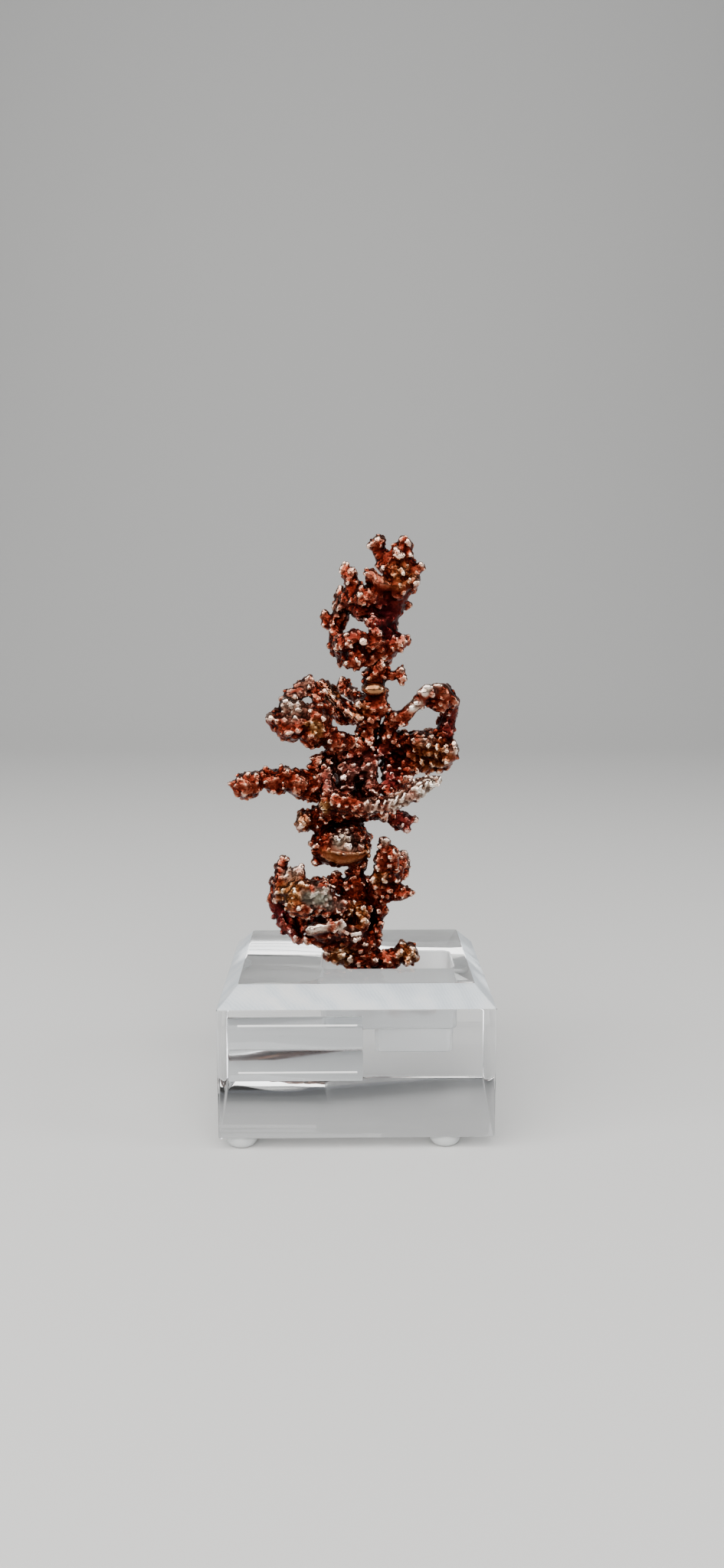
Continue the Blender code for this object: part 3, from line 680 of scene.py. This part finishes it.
# Soft round regions: x, y, z, radius and strength.
# where lumps keep away and the metal stays smooth
SMOOTH_SPOTS = [
    (-2.8, -7.2, 50.9, 2.6, 1.0), (0.6, -6.6, 51.0, 2.4, 1.0), (-5.6, -6.6, 51.1, 2.3, 1.0),
    (2.2, -5.2, 51.3, 1.8, 1.0),
    (-4.2, -7.4, 51.6, 2.2, 1.0), (-1.2, -7.4, 51.4, 2.2, 1.0), (3.4, -3.8, 82.2, 2.5, 1.0),
    (3.4, -3.4, 83.6, 1.2, 0.8),
    (-7.5, -8.8, 36.8, 2.0, 1.0), (-5.4, -8.6, 36.6, 1.5, 0.8), (-6.6, -9.6, 38.7, 1.6, 0.9),
    (-2.5, -9.2, 38.6, 1.4, 0.8), (6.0, -2.3, 101.0, 2.4, 0.7), (8.2, -1.0, 98.6, 2.6, 0.7),
    (6.3, -1.0, 95.0, 2.8, 0.8), (4.4, 0.6, 107.0, 1.6, 0.7), (3.6, -3.6, 42.5, 2.0, 0.6),
    (3.8, -2.8, 39.5, 2.0, 0.6), (13.4, -3.8, 82.0, 2.5, 1.0),
    (15.8, -2.2, 82.4, 2.5, 0.95), (10.6, -3.6, 79.1, 2.0, 1.0), (-3.0, -7.5, 32.2, 2.0, 0.6),
]
# silvery metal
SILVER_SPOTS = [
    (12.6, -9.8, 65.0, 3.2, 0.9), (7.8, -9.8, 62.6, 2.6, 0.75), (15.4, -9.0, 66.2, 1.8, 0.9),
    (3.0, -9.8, 61.6, 2.2, 0.5), (-3.0, -4.5, 66.5, 4.0, 0.25), (1.5, -2.0, 66.0, 4.0, 0.25),
    (-2.6, -7.0, 54.4, 2.2, 1.0), (-0.6, -6.6, 54.2, 1.9, 0.95), (-1.8, -6.2, 55.8, 1.6, 0.7),
    (10.9, -3.6, 79.3, 1.6, 0.9), (12.8, -4.2, 82.2, 1.4, 0.85), (14.6, -3.6, 82.8, 1.2, 0.4),
    (18.6, -1.5, 70.8, 1.6, 0.7),
    (-11.2, -5.5, 78.8, 3.4, 0.75), (-9.2, -3.0, 82.8, 1.6, 0.5), (-2.6, -9.0, 38.8, 1.4, 0.85),
    (-6.3, -9.8, 38.8, 1.5, 0.8), (-8.6, -9.6, 38.3, 1.2, 0.7), (0.0, -8.4, 36.9, 1.4, 0.75),
    (8.3, -3.6, 85.5, 1.1, 0.7), (5.5, -6.4, 54.6, 1.2, 0.7), (9.4, -1.0, 50.6, 1.4, 0.6),
    (-11.8, -7.5, 49.0, 2.2, 0.65), (-7.8, -9.0, 46.9, 1.2, 0.7), (10.5, 1.0, 47.8, 1.2, 0.5),
    (13.6, -1.6, 73.0, 1.8, 0.4), (-3.5, 2.0, 97.6, 2.0, 0.4),
]
# painted light: regions made paler where the light falls on the metal
PAINTED_LIGHT_SPOTS = [
    (9.3, -0.9, 106.2, 3.2, 0.45), (10.4, -1.6, 102.8, 2.4, 0.45), (5.2, -1.0, 103.4, 2.6, 0.30),
    (3.6, 1.4, 109.2, 1.5, 0.45), (-1.9, 0.4, 104.2, 2.0, 0.35), (-3.3, 2.4, 98.8, 2.0, 0.30),
    (0.8, -2.4, 99.8, 1.8, 0.25), (-1.2, -4.0, 91.4, 3.0, 0.30), (8.4, -2.2, 91.0, 2.2, 0.30),
    (-11.2, -5.5, 79.4, 3.4, 0.35), (-7.6, -3.4, 82.2, 2.6, 0.40), (-7.4, -8.0, 76.0, 1.8, 0.45),
    (10.9, -3.6, 79.3, 1.6, 0.60), (12.8, -4.2, 82.2, 1.5, 0.55), (14.8, -3.4, 82.8, 1.6, 0.40),
    (16.2, -2.6, 82.6, 1.8, 0.35), (-4.4, -0.4, 81.0, 2.4, 0.35), (-1.6, -1.4, 78.0, 2.0, 0.30),
    (-2.8, -9.4, 38.6, 1.8, 0.60), (-6.8, -9.8, 38.8, 1.8, 0.60), (-0.2, -8.8, 37.1, 1.4, 0.50),
    (12.6, -9.8, 65.0, 3.2, 0.50), (7.4, -9.8, 62.6, 3.0, 0.40), (-2.0, -6.8, 54.4, 2.2, 0.40),
    (-11.6, -8.0, 46.4, 3.4, 0.40), (-2.0, -9.0, 38.6, 2.6, 0.35), (9.2, -4.0, 32.0, 2.4, 0.35),
    (-18.6, -8.8, 66.6, 2.4, 0.25), (-9.6, -7.6, 66.4, 2.2, 0.30), (6.4, -6.8, 52.0, 2.4, 0.25),
    (18.6, -1.6, 70.6, 1.8, 0.35),
]
# painted shade: regions made darker where the metal lies in shade
PAINTED_SHADE_SPOTS = [
    (4.4, 0.8, 106.6, 2.0, 0.30), (6.0, -1.5, 100.8, 2.4, 0.30), (8.4, -0.6, 98.0, 3.0, 0.35),
    (6.3, -0.6, 94.6, 3.0, 0.35), (0.0, 0.0, 95.5, 3.0, 0.30), (-1.0, -3.5, 89.0, 1.8, 0.20),
    (-4.8, -6.0, 64.6, 3.4, 0.25), (0.9, -1.0, 64.0, 4.0, 0.35), (4.5, -1.0, 68.0, 4.0, 0.25),
    (0.5, -2.0, 57.5, 3.4, 0.35), (3.6, -3.4, 42.0, 2.6, 0.30), (3.8, -2.6, 38.8, 2.4, 0.30),
    (-7.0, -4.5, 39.4, 3.6, 0.60), (-3.0, -4.2, 39.2, 2.4, 0.50), (-14.4, -4.6, 40.5, 3.0, 0.20),
    (-10.5, -6.0, 74.5, 2.6, 0.20), (2.0, -2.6, 75.6, 2.4, 0.20), (18.0, 0.8, 75.0, 3.2, 0.25),
]
# golden metal
GOLD_SPOTS = [
    (-4.0, -7.0, 51.6, 2.4, 0.55), (-1.0, -7.2, 50.9, 2.4, 0.50), (1.6, -5.8, 51.6, 2.0, 0.40),
    (-11.6, -9.0, 45.4, 3.4, 0.85), (-9.6, -9.5, 43.4, 1.8, 0.8), (-7.4, -8.0, 75.6, 1.8, 0.9),
    (-5.6, -9.0, 61.0, 1.6, 0.9), (0.3, -7.0, 40.5, 2.4, 0.7), (14.5, -1.6, 69.5, 4.2, 0.5),
    (8.3, -3.0, 103.4, 3.4, 0.45), (-4.6, 0.2, 81.0, 2.2, 0.6), (3.4, -3.6, 82.2, 2.4, 0.60),
    (-2.5, -5.0, 31.8, 2.6, 0.75), (10.2, -4.0, 31.6, 2.6, 0.6), (0.5, -3.5, 78.0, 2.2, 0.4),
    (-10.0, -5.5, 57.8, 2.0, 0.5), (4.6, -5.5, 47.0, 1.8, 0.6),
]
# maroon metal: a deeper tone of the metal, used also as painted shade on dim regions
MAROON_AND_SHADE_SPOTS = [
    (0.0, -2.0, 66.0, 4.5, 0.6), (-4.5, -5.0, 65.0, 3.0, 0.5), (4.0, -1.0, 69.0, 3.0, 0.5),
    (-14.8, -4.5, 40.0, 3.0, 0.85), (-12.5, -5.5, 36.4, 2.6, 0.8), (6.0, -0.5, 95.0, 4.6, 0.6),
    (-1.0, -2.0, 94.0, 3.4, 0.5), (18.6, 1.0, 75.5, 3.4, 0.5), (9.0, 0.5, 56.8, 2.8, 0.6),
    (6.0, -3.0, 65.5, 2.6, 0.6), (-6.5, -4.0, 40.0, 3.2, 0.8),
]
# dull grey-green tarnish
TARNISH_SPOTS = [
    (-8.2, -10.4, 44.6, 1.9, 0.80), (-6.6, -10.4, 44.6, 2.1, 0.90), (-4.9, -9.6, 43.2, 1.5, 0.6),
    (-3.0, -8.4, 42.4, 1.2, 0.4),
]

# lumps behind the hollows, that the grain then covers: x, y, z, radius
BACKING = {
    "copper_lower_left_cluster": [
        (-10.4, -4.3, 38.5, 1.2), (-9.0, -4.2, 38.8, 1.3), (-7.5, -4.1, 38.9, 1.3), (-6.0, -4.1, 38.9, 1.3),
        (-4.5, -4.2, 38.9, 1.3), (-3.0, -4.2, 38.9, 1.3), (-1.8, -4.0, 38.9, 1.2), (-9.8, -4.6, 37.3, 1.0),
    ],
}
# smooth forms: x, y, z and half sizes
SMOOTH_FORMS = {
    "copper_neck": [(3.45, -2.75, 82.2, 2.05, 1.35, 1.25)],
    "copper_right_loop_arm": [
        (13.4, -3.3, 81.9, 1.35, 1.10, 1.20), (15.2, -2.2, 82.3, 1.60, 1.10, 0.85),
        (12.5, -3.9, 81.7, 0.72, 0.75, 0.95), (13.3, -3.9, 82.7, 1.05, 0.70, 0.58),
        (15.1, -2.9, 82.9, 1.15, 0.75, 0.55), (14.0, -3.9, 81.3, 0.75, 0.60, 0.70),
        (10.4, -3.5, 78.9, 0.78, 0.70, 0.58), (11.3, -3.6, 79.7, 0.80, 0.70, 0.62),
        (9.4, -3.2, 78.0, 0.60, 0.55, 0.50),
    ],
}
# single flat-faced crystals: centre, half sizes, lean in degrees
PLATES = {
    "copper_lower_left_cluster": [
        (-8.8, -10.4, 44.9, 0.95, 0.40, 0.30, 40.0), (-7.5, -10.8, 45.4, 1.05, 0.45, 0.28, 35.0),
        (-6.3, -10.4, 45.0, 0.95, 0.40, 0.30, 50.0), (-7.1, -10.7, 44.1, 1.00, 0.40, 0.26, 25.0),
        (-5.7, -10.0, 43.9, 0.80, 0.40, 0.26, -35.0), (-8.3, -10.4, 43.6, 0.80, 0.40, 0.28, 15.0),
    ],
    "copper_lower_trunk": [
        (-6.7, -9.35, 38.75, 1.9, 0.40, 0.40, 5.0), (-8.7, -9.1, 38.2, 0.55, 0.40, 0.55, -40.0),
        (-2.7, -9.05, 39.25, 0.70, 0.50, 0.85, 35.0), (-2.2, -9.0, 37.75, 1.00, 0.45, 0.36, -28.0),
        (0.0, -8.5, 37.15, 1.05, 0.45, 0.38, 12.0),
    ],
}
# thin raised lines, as the points they run through, and their radius
RIDGES = {
    "copper_left_upper_finger": [
        ([(-6.2, 0.0, 83.3), (-5.4, -0.4, 82.0), (-4.4, -0.8, 80.7), (-3.2, -1.2, 79.3), (-1.9, -1.7, 78.1),
          (-0.5, -2.3, 77.3), (0.9, -2.9, 76.9)], 0.80),
    ],
    "copper_middle_trunk": [
        ([(-5.6, -6.9, 52.6), (-4.5, -7.3, 52.5), (-3.3, -7.6, 52.35), (-2.2, -7.6, 52.2),
          (-1.1, -7.4, 52.15), (0.1, -7.1, 52.15), (1.2, -6.4, 52.2), (2.2, -5.6, 52.4)], 0.36),
        ([(2.1, -5.3, 53.4), (2.4, -5.4, 52.6), (2.5, -5.5, 51.7), (2.5, -5.1, 50.9)], 0.30),
        ([(-6.4, -6.5, 51.7), (-5.6, -6.9, 51.3), (-4.9, -7.1, 50.9), (-4.2, -7.1, 50.6),
          (-3.4, -7.0, 50.3)], 0.30),
    ],
    "copper_lower_trunk": [
        ([(-9.2, -9.0, 38.2), (-7.8, -9.6, 38.7), (-6.3, -9.5, 38.8), (-4.9, -9.6, 39.0)], 0.42),
    ],
}
RIDGE_STEP = 0.6
RIDGE_SMALL, RIDGE_LARGE = 0.60, 1.12
RIDGE_UNEVEN = 0.25

# the blade's middle line; short ribs cross it, longest where the blade is widest
BLADE_LINE = [
    (1.4, -9.9, 61.5), (4.9, -10.0, 61.7), (6.6, -10.0, 62.4), (8.4, -10.0, 63.0), (10.0, -10.1, 63.7),
    (11.5, -10.3, 64.6), (13.3, -9.9, 65.4), (14.8, -9.6, 66.1),
]
RIB_SPACING = 1.22
RIB_SIZE = (0.48, 0.64, 1.36)
RIB_LEAN = math.radians(24.0)
RIB_TAPER_AT, RIB_TAPER = (1.0, 9.0, 15.0), (0.7, 1.0, 0.55)
RIB_STRAY = 0.12
RIB_SMALL, RIB_LARGE = 0.82, 1.12
PLATE_CUT = 0.62

# how large each branch's lumps are
GRAIN = {
    "copper_crown": 1.0, "copper_foot": 1.0, "copper_left_finger": 1.0, "copper_left_upper_arm": 1.05,
    "copper_left_upper_finger": 0.9, "copper_lower_left_cluster": 0.95, "copper_lower_right_spray": 0.95,
    "copper_lower_trunk": 1.0, "copper_middle_trunk": 1.0, "copper_neck": 0.95, "copper_right_blade": 0.62,
    "copper_right_loop_arm": 0.95,
}


def joined(parts):
    """Several sets of triangles as one."""
    starts = np.cumsum([0] + [len(p) for p, _ in parts[:-1]])
    return np.concatenate([p for p, _ in parts]), np.concatenate([f + s for (_, f), s in zip(parts, starts)])


def noise_at(points, scale, shift=0.0):
    return np.array([noise.noise(Vector(p) * scale + Vector((shift, 0.0, 0.0))) for p in points])


def ellipsoids(forms, lean=0.0):
    """Smooth rounded forms, each a centre and its half sizes, leaning to +X."""
    ball, ball_faces = unit_ball(4)
    turned = np.array([[math.cos(lean), 0.0, math.sin(lean)], [0.0, 1.0, 0.0],
                       [-math.sin(lean), 0.0, math.cos(lean)]])
    return joined([((ball * form[3:]) @ turned.T + form[:3], ball_faces) for form in forms])


def blunt_plates(forms):
    """Flat-faced crystals: a centre, half sizes, and their lean about Y in degrees."""
    ball, ball_faces = unit_ball(5)
    block = np.clip(ball, -PLATE_CUT, PLATE_CUT) / PLATE_CUT
    parts = []
    for x, y, z, half_x, half_y, half_z, lean in forms:
        turn = math.radians(lean)
        turned = np.array([[math.cos(turn), 0.0, -math.sin(turn)], [0.0, 1.0, 0.0],
                           [math.sin(turn), 0.0, math.cos(turn)]])
        parts.append(((block * (half_x, half_y, half_z)) @ turned.T + (x, y, z), ball_faces))
    return joined(parts)


def along(line, spacing):
    """Places at an even spacing along a run of points."""
    line = np.array(line, float)
    run = np.concatenate([[0.0], np.cumsum(np.linalg.norm(np.diff(line, axis=0), axis=1))])
    stops = np.linspace(0.0, run[-1], max(2, round(run[-1] / spacing) + 1))
    return np.stack([np.interp(stops, run, line[:, axis]) for axis in range(3)], axis=1)


def lump_places(skin, skin_faces, layer, size, rng):
    """Where one layer's lumps sit on the skin: centres, radii and outward directions."""
    places, outward = scattered(skin, skin_faces, layer.spacing * size, rng)
    rank = noise_at(places, CLUMP_SCALE) * CLUMP_WEIGHT + rng.random(len(places))
    keep = (rank < layer.share + CLUMP_SLACK) & (rng.random(len(places)) > field(places, SMOOTH_SPOTS))
    places, outward = places[keep], outward[keep]
    radii = rng.uniform(layer.small, layer.large, len(places)) * size
    lift = radii * rng.uniform(layer.lowest, layer.highest, len(places))
    centres = places + outward * lift[:, None]
    return centres, radii, outward


def lump_layer(skin, skin_faces, layer, size, rng):
    """One layer of lumps over the skin, round and blunt, some with a side bud."""
    centres, radii, outward = lump_places(skin, skin_faces, layer, size, rng)
    bud = rng.random(len(centres)) < BUD_SHARE
    aside = outward[bud] + rng.normal(0.0, BUD_STRAY, (bud.sum(), 3))
    aside /= np.linalg.norm(aside, axis=1)[:, None]
    small = radii[bud] * rng.uniform(BUD_SMALL, BUD_LARGE, bud.sum())
    blunt = rng.random(len(centres)) < CRYSTAL_SHARE
    beside = centres[bud] + aside * (radii[bud] * BUD_REACH)[:, None]
    return [ball_cloud(centres[~blunt], radii[~blunt], rng, layer.uneven),
            ball_cloud(centres[blunt], radii[blunt] * CRYSTAL_SWELL, rng, layer.uneven, CRYSTAL_FLAT),
            ball_cloud(beside, small, rng, BUD_UNEVEN)]


def fused(shape, voxel):
    """Overlapping closed surfaces grown into one."""
    item = add_object("fused", new_mesh("fused", *shape))
    fuse = item.modifiers.new("fuse", "REMESH")
    fuse.mode = "VOXEL"
    fuse.voxel_size = voxel
    soften = item.modifiers.new("soften", "SMOOTH")
    soften.factor = 0.5
    soften.iterations = 1
    return applied(item)


def backed(node, skin, skin_faces):
    """The skin, with the lumps that close the hollows behind it where the branch has any."""
    if node not in BACKING:
        return skin, skin_faces
    balls = ellipsoids([(x, y, z, radius, radius, radius) for x, y, z, radius in BACKING[node]])
    return joined([(skin, skin_faces), balls])


def blade_ribs(rng):
    """The short ribs that cross the blade."""
    ribs = along(BLADE_LINE, RIB_SPACING)
    taper = np.interp(ribs[:, 0], RIB_TAPER_AT, RIB_TAPER)
    ribs = ribs + rng.normal(0.0, RIB_STRAY, ribs.shape)
    sizes = np.outer(taper * rng.uniform(RIB_SMALL, RIB_LARGE, len(ribs)), RIB_SIZE)
    return ellipsoids([(*p, *s) for p, s in zip(ribs, sizes)], RIB_LEAN)


def placed_forms(node, rng):
    """The plates, smooth forms, ridges and ribs that sit at known places on a branch."""
    parts = []
    if node in PLATES:
        parts.append(blunt_plates(PLATES[node]))
    if node in SMOOTH_FORMS:
        parts.append(ellipsoids(SMOOTH_FORMS[node]))
    for line, radius in RIDGES.get(node, []):
        places = along(line, radius * RIDGE_STEP)
        radii = rng.uniform(RIDGE_SMALL, RIDGE_LARGE, len(places)) * radius
        parts.append(ball_cloud(places, radii, rng, RIDGE_UNEVEN))
    if node == "copper_right_blade":
        parts.append(blade_ribs(rng))
    return parts


def grown_copper(node, seed, size):
    """One branch's detailed surface on its CAD solid, and where its standing lumps are."""
    rng = np.random.default_rng(seed)
    skin, skin_faces = cad_skin(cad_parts[node], SKIN_SWELL)
    wave = noise_at(skin, SKIN_WAVE_SCALE, seed * 0.1) * SKIN_WAVE_HEIGHT
    skin = skin + normals_of(skin, skin_faces) * wave[:, None]
    skin, skin_faces = backed(node, skin, skin_faces)
    knobs = lump_layer(skin, skin_faces, KNOBS, size, rng)
    knobbed = fused(joined([(skin, skin_faces)] + knobs), COARSE_VOXEL)
    skin, skin_faces = points_of(knobbed), triangles_of(knobbed)
    bpy.data.meshes.remove(knobbed)
    parts = [(skin, skin_faces)]
    for layer in GRANULES:
        parts += lump_layer(skin, skin_faces, layer, size, rng)
    centres, radii, _ = lump_places(skin, skin_faces, STANDING, size, rng)
    parts.append(ball_cloud(centres[::2], radii[::2], rng, STANDING.uneven))
    parts.append(ball_cloud(centres[1::2], radii[1::2], rng, STANDING.uneven, CRYSTAL_FLAT))
    parts += placed_forms(node, rng)
    return fused(joined(parts), VOXEL), np.column_stack([centres, radii])


def roughened(mesh, low, high):
    """Fine grain pushed into the surface, kept within a box, and how far each point stands out."""
    points, faces, edges = points_of(mesh), triangles_of(mesh), edges_of(mesh)
    normals = normals_of(points, faces)
    calm = 1.0 - SMOOTH_SHARE * field(points, SMOOTH_SPOTS)
    grain = sum(noise_at(points, scale) * height for scale, height in GRAIN_WAVES)
    points = points + normals * (grain * calm)[:, None]
    points = np.clip(points, low + BOX_MARGIN, high - BOX_MARGIN)
    broad = points.copy()
    for _ in range(CLOSE_ROUNDS):
        broad = neighbour_mean(broad, edges)
    close = np.einsum("ij,ij->i", points - broad, normals)
    for _ in range(WIDE_ROUNDS):
        broad = neighbour_mean(broad, edges)
    wide = np.einsum("ij,ij->i", points - broad, normals)
    relief = np.clip(LEVEL_RELIEF + close / CLOSE_HEIGHT + wide / WIDE_HEIGHT, 0.0, 1.0)
    mesh.vertices.foreach_set("co", (points * MM).astype(np.float32).ravel())
    mesh.update()
    return points, relief


def paint(mesh, points, relief, lumps):
    """What the material reads: relief, painted highlights on lump tops with painted light and shade by
    region, tarnish and the regional tones.
    """
    wander = np.stack([noise_at(points, WANDER_SCALE, shift) for shift in WANDER_SHIFTS], axis=1)
    warped = points + wander * WANDER_REACH
    # painted highlight around each standing lump, faded in the hollows; then painted light and painted shade
    # by region
    wear_and_painted_light = field(points, [(x, y, z, radius * PAINTED_HIGHLIGHT_REACH, PAINTED_HIGHLIGHT_STRENGTH) for x, y, z, radius in lumps])
    wear_and_painted_light = wear_and_painted_light * np.clip(relief * PAINTED_HIGHLIGHT_CLIMB, 0.0, 1.0)
    wear_and_painted_light = wear_and_painted_light + field(warped, PAINTED_LIGHT_SPOTS) - field(warped, PAINTED_SHADE_SPOTS)
    tarnish = field(warped, TARNISH_SPOTS)
    for name, values in (("relief", relief), ("wear_and_painted_light", wear_and_painted_light), ("tarnish", tarnish)):
        mesh.attributes.new(name, "FLOAT", "POINT").data.foreach_set("value", values.astype(np.float32))
    tones = np.ones((len(points), 4), np.float32)
    for channel, spots in enumerate((SILVER_SPOTS, GOLD_SPOTS, MAROON_AND_SHADE_SPOTS)):
        tones[:, channel] = field(warped, spots)
    mesh.attributes.new("tones", "FLOAT_COLOR", "POINT").data.foreach_set("color", tones.ravel())


def make_copper():
    metal = copper_material()
    low, high = (np.array(c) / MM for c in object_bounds())
    for index, (node, size) in enumerate(sorted(GRAIN.items())):
        mesh, lumps = grown_copper(node, SEED + index, size)
        points, relief = roughened(mesh, low, high)
        paint(mesh, points, relief, lumps)
        mesh.materials.clear()
        mesh.materials.append(metal)
        mesh.shade_smooth()
        item = add_object("thin", mesh)
        thin = item.modifiers.new("thin", "DECIMATE")
        thin.ratio = KEEP_FACES
        piece = add_object(node.replace("copper_", "copper_growth_"), applied(item))
        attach(piece, "root")
        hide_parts(node)


# ---------------------------------------------------------------- stage, lights, camera
# the sweep and the lights are in metres
SWEEP_HALF_WIDTH = 1.8
SWEEP_FRONT, SWEEP_BEND = -1.6, 0.55
SWEEP_RADIUS = 0.5
SWEEP_HEIGHT = 2.2
SWEEP_TURN_STEP = 6
SWEEP_DROP = 0.00003
WORLD_COLOUR, WORLD_STRENGTH = (0.85, 0.90, 1.0, 1.0), 0.16


def make_stage():
    """A pale floor that bends up behind the part, just below what stands on it."""
    turns = [math.radians(d) for d in range(0, 91, SWEEP_TURN_STEP)]
    bend = [(SWEEP_BEND + SWEEP_RADIUS * math.sin(a), SWEEP_RADIUS * (1 - math.cos(a))) for a in turns]
    profile = [(SWEEP_FRONT, 0.0)] + bend + [(SWEEP_BEND + SWEEP_RADIUS, SWEEP_HEIGHT)]
    bm = bmesh.new()
    sides = (-SWEEP_HALF_WIDTH, SWEEP_HALF_WIDTH)
    rows = [[bm.verts.new((x, y, z - SWEEP_DROP)) for x in sides] for y, z in profile]
    for lower, upper in zip(rows, rows[1:]):
        bm.faces.new((lower[0], lower[1], upper[1], upper[0]))
    mesh = bpy.data.meshes.new("sweep")
    bm.to_mesh(mesh)
    bm.free()
    mesh.shade_smooth()
    mesh.materials.append(sweep_paper())
    add_object("sweep", mesh)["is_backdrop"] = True


def soft_box(name, place, target, size, power, colour=(1.0, 1.0, 1.0)):
    light = bpy.data.lights.new(name, "AREA")
    light.shape = "RECTANGLE"
    light.size, light.size_y = size
    light.energy = power
    light.color = colour
    item = add_object(name, light)
    item.location = place
    item.rotation_euler = (Vector(target) - Vector(place)).to_track_quat("-Z", "Y").to_euler()
    return item


def make_lights():
    middle = (0.0, 0.0, 0.06)
    soft_box("key_light", (-0.10, -0.38, 0.52), middle, (1.10, 0.80), 12.0, (1.0, 0.98, 0.95))
    soft_box("side_light", (0.42, -0.12, 0.22), middle, (0.12, 0.24), 0.9, (0.97, 0.98, 1.0))
    soft_box("left_light", (-0.42, -0.16, 0.20), middle, (0.12, 0.20), 0.7)
    paper = soft_box("paper_light", (0.0, 0.45, 1.10), (0.0, 0.75, 0.0), (1.2, 0.5), 2.5)
    paper.visible_glossy = False
    paper.visible_transmission = False
    world = bpy.data.worlds.new("studio")
    world.use_nodes = True
    glow = world.node_tree.nodes["Background"]
    glow.inputs["Color"].default_value = WORLD_COLOUR
    glow.inputs["Strength"].default_value = WORLD_STRENGTH
    bpy.context.scene.world = world


# the camera's place in millimetres, its angles down and to the right in degrees, and its lens
CAMERA_PLACE = (-1.867, -199.965, 96.37)
CAMERA_PITCH = 9.187
CAMERA_YAW = 0.889
CAMERA_LENS = 24.45


def make_camera():
    data = bpy.data.cameras.new("photo_camera")
    data.sensor_width = 36.0
    data.lens = CAMERA_LENS
    data.clip_start = 0.01
    data.clip_end = 20.0
    camera = add_object("photo_camera", data)
    camera.location = Vector(CAMERA_PLACE) * MM
    pitch, yaw = math.radians(CAMERA_PITCH), math.radians(CAMERA_YAW)
    ahead = Vector((math.sin(yaw) * math.cos(pitch), math.cos(yaw) * math.cos(pitch), -math.sin(pitch)))
    camera.rotation_euler = ahead.to_track_quat("-Z", "Y").to_euler()
    bpy.context.scene.camera = camera


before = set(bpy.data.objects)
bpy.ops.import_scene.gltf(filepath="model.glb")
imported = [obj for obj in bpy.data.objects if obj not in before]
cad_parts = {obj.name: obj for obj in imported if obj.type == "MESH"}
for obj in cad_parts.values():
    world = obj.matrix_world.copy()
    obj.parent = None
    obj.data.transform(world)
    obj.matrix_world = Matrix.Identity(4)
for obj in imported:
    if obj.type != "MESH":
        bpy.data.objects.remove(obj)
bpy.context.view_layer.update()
make_camera()
make_lights()
make_stage()
make_block()
make_feet()
make_label()
make_copper()
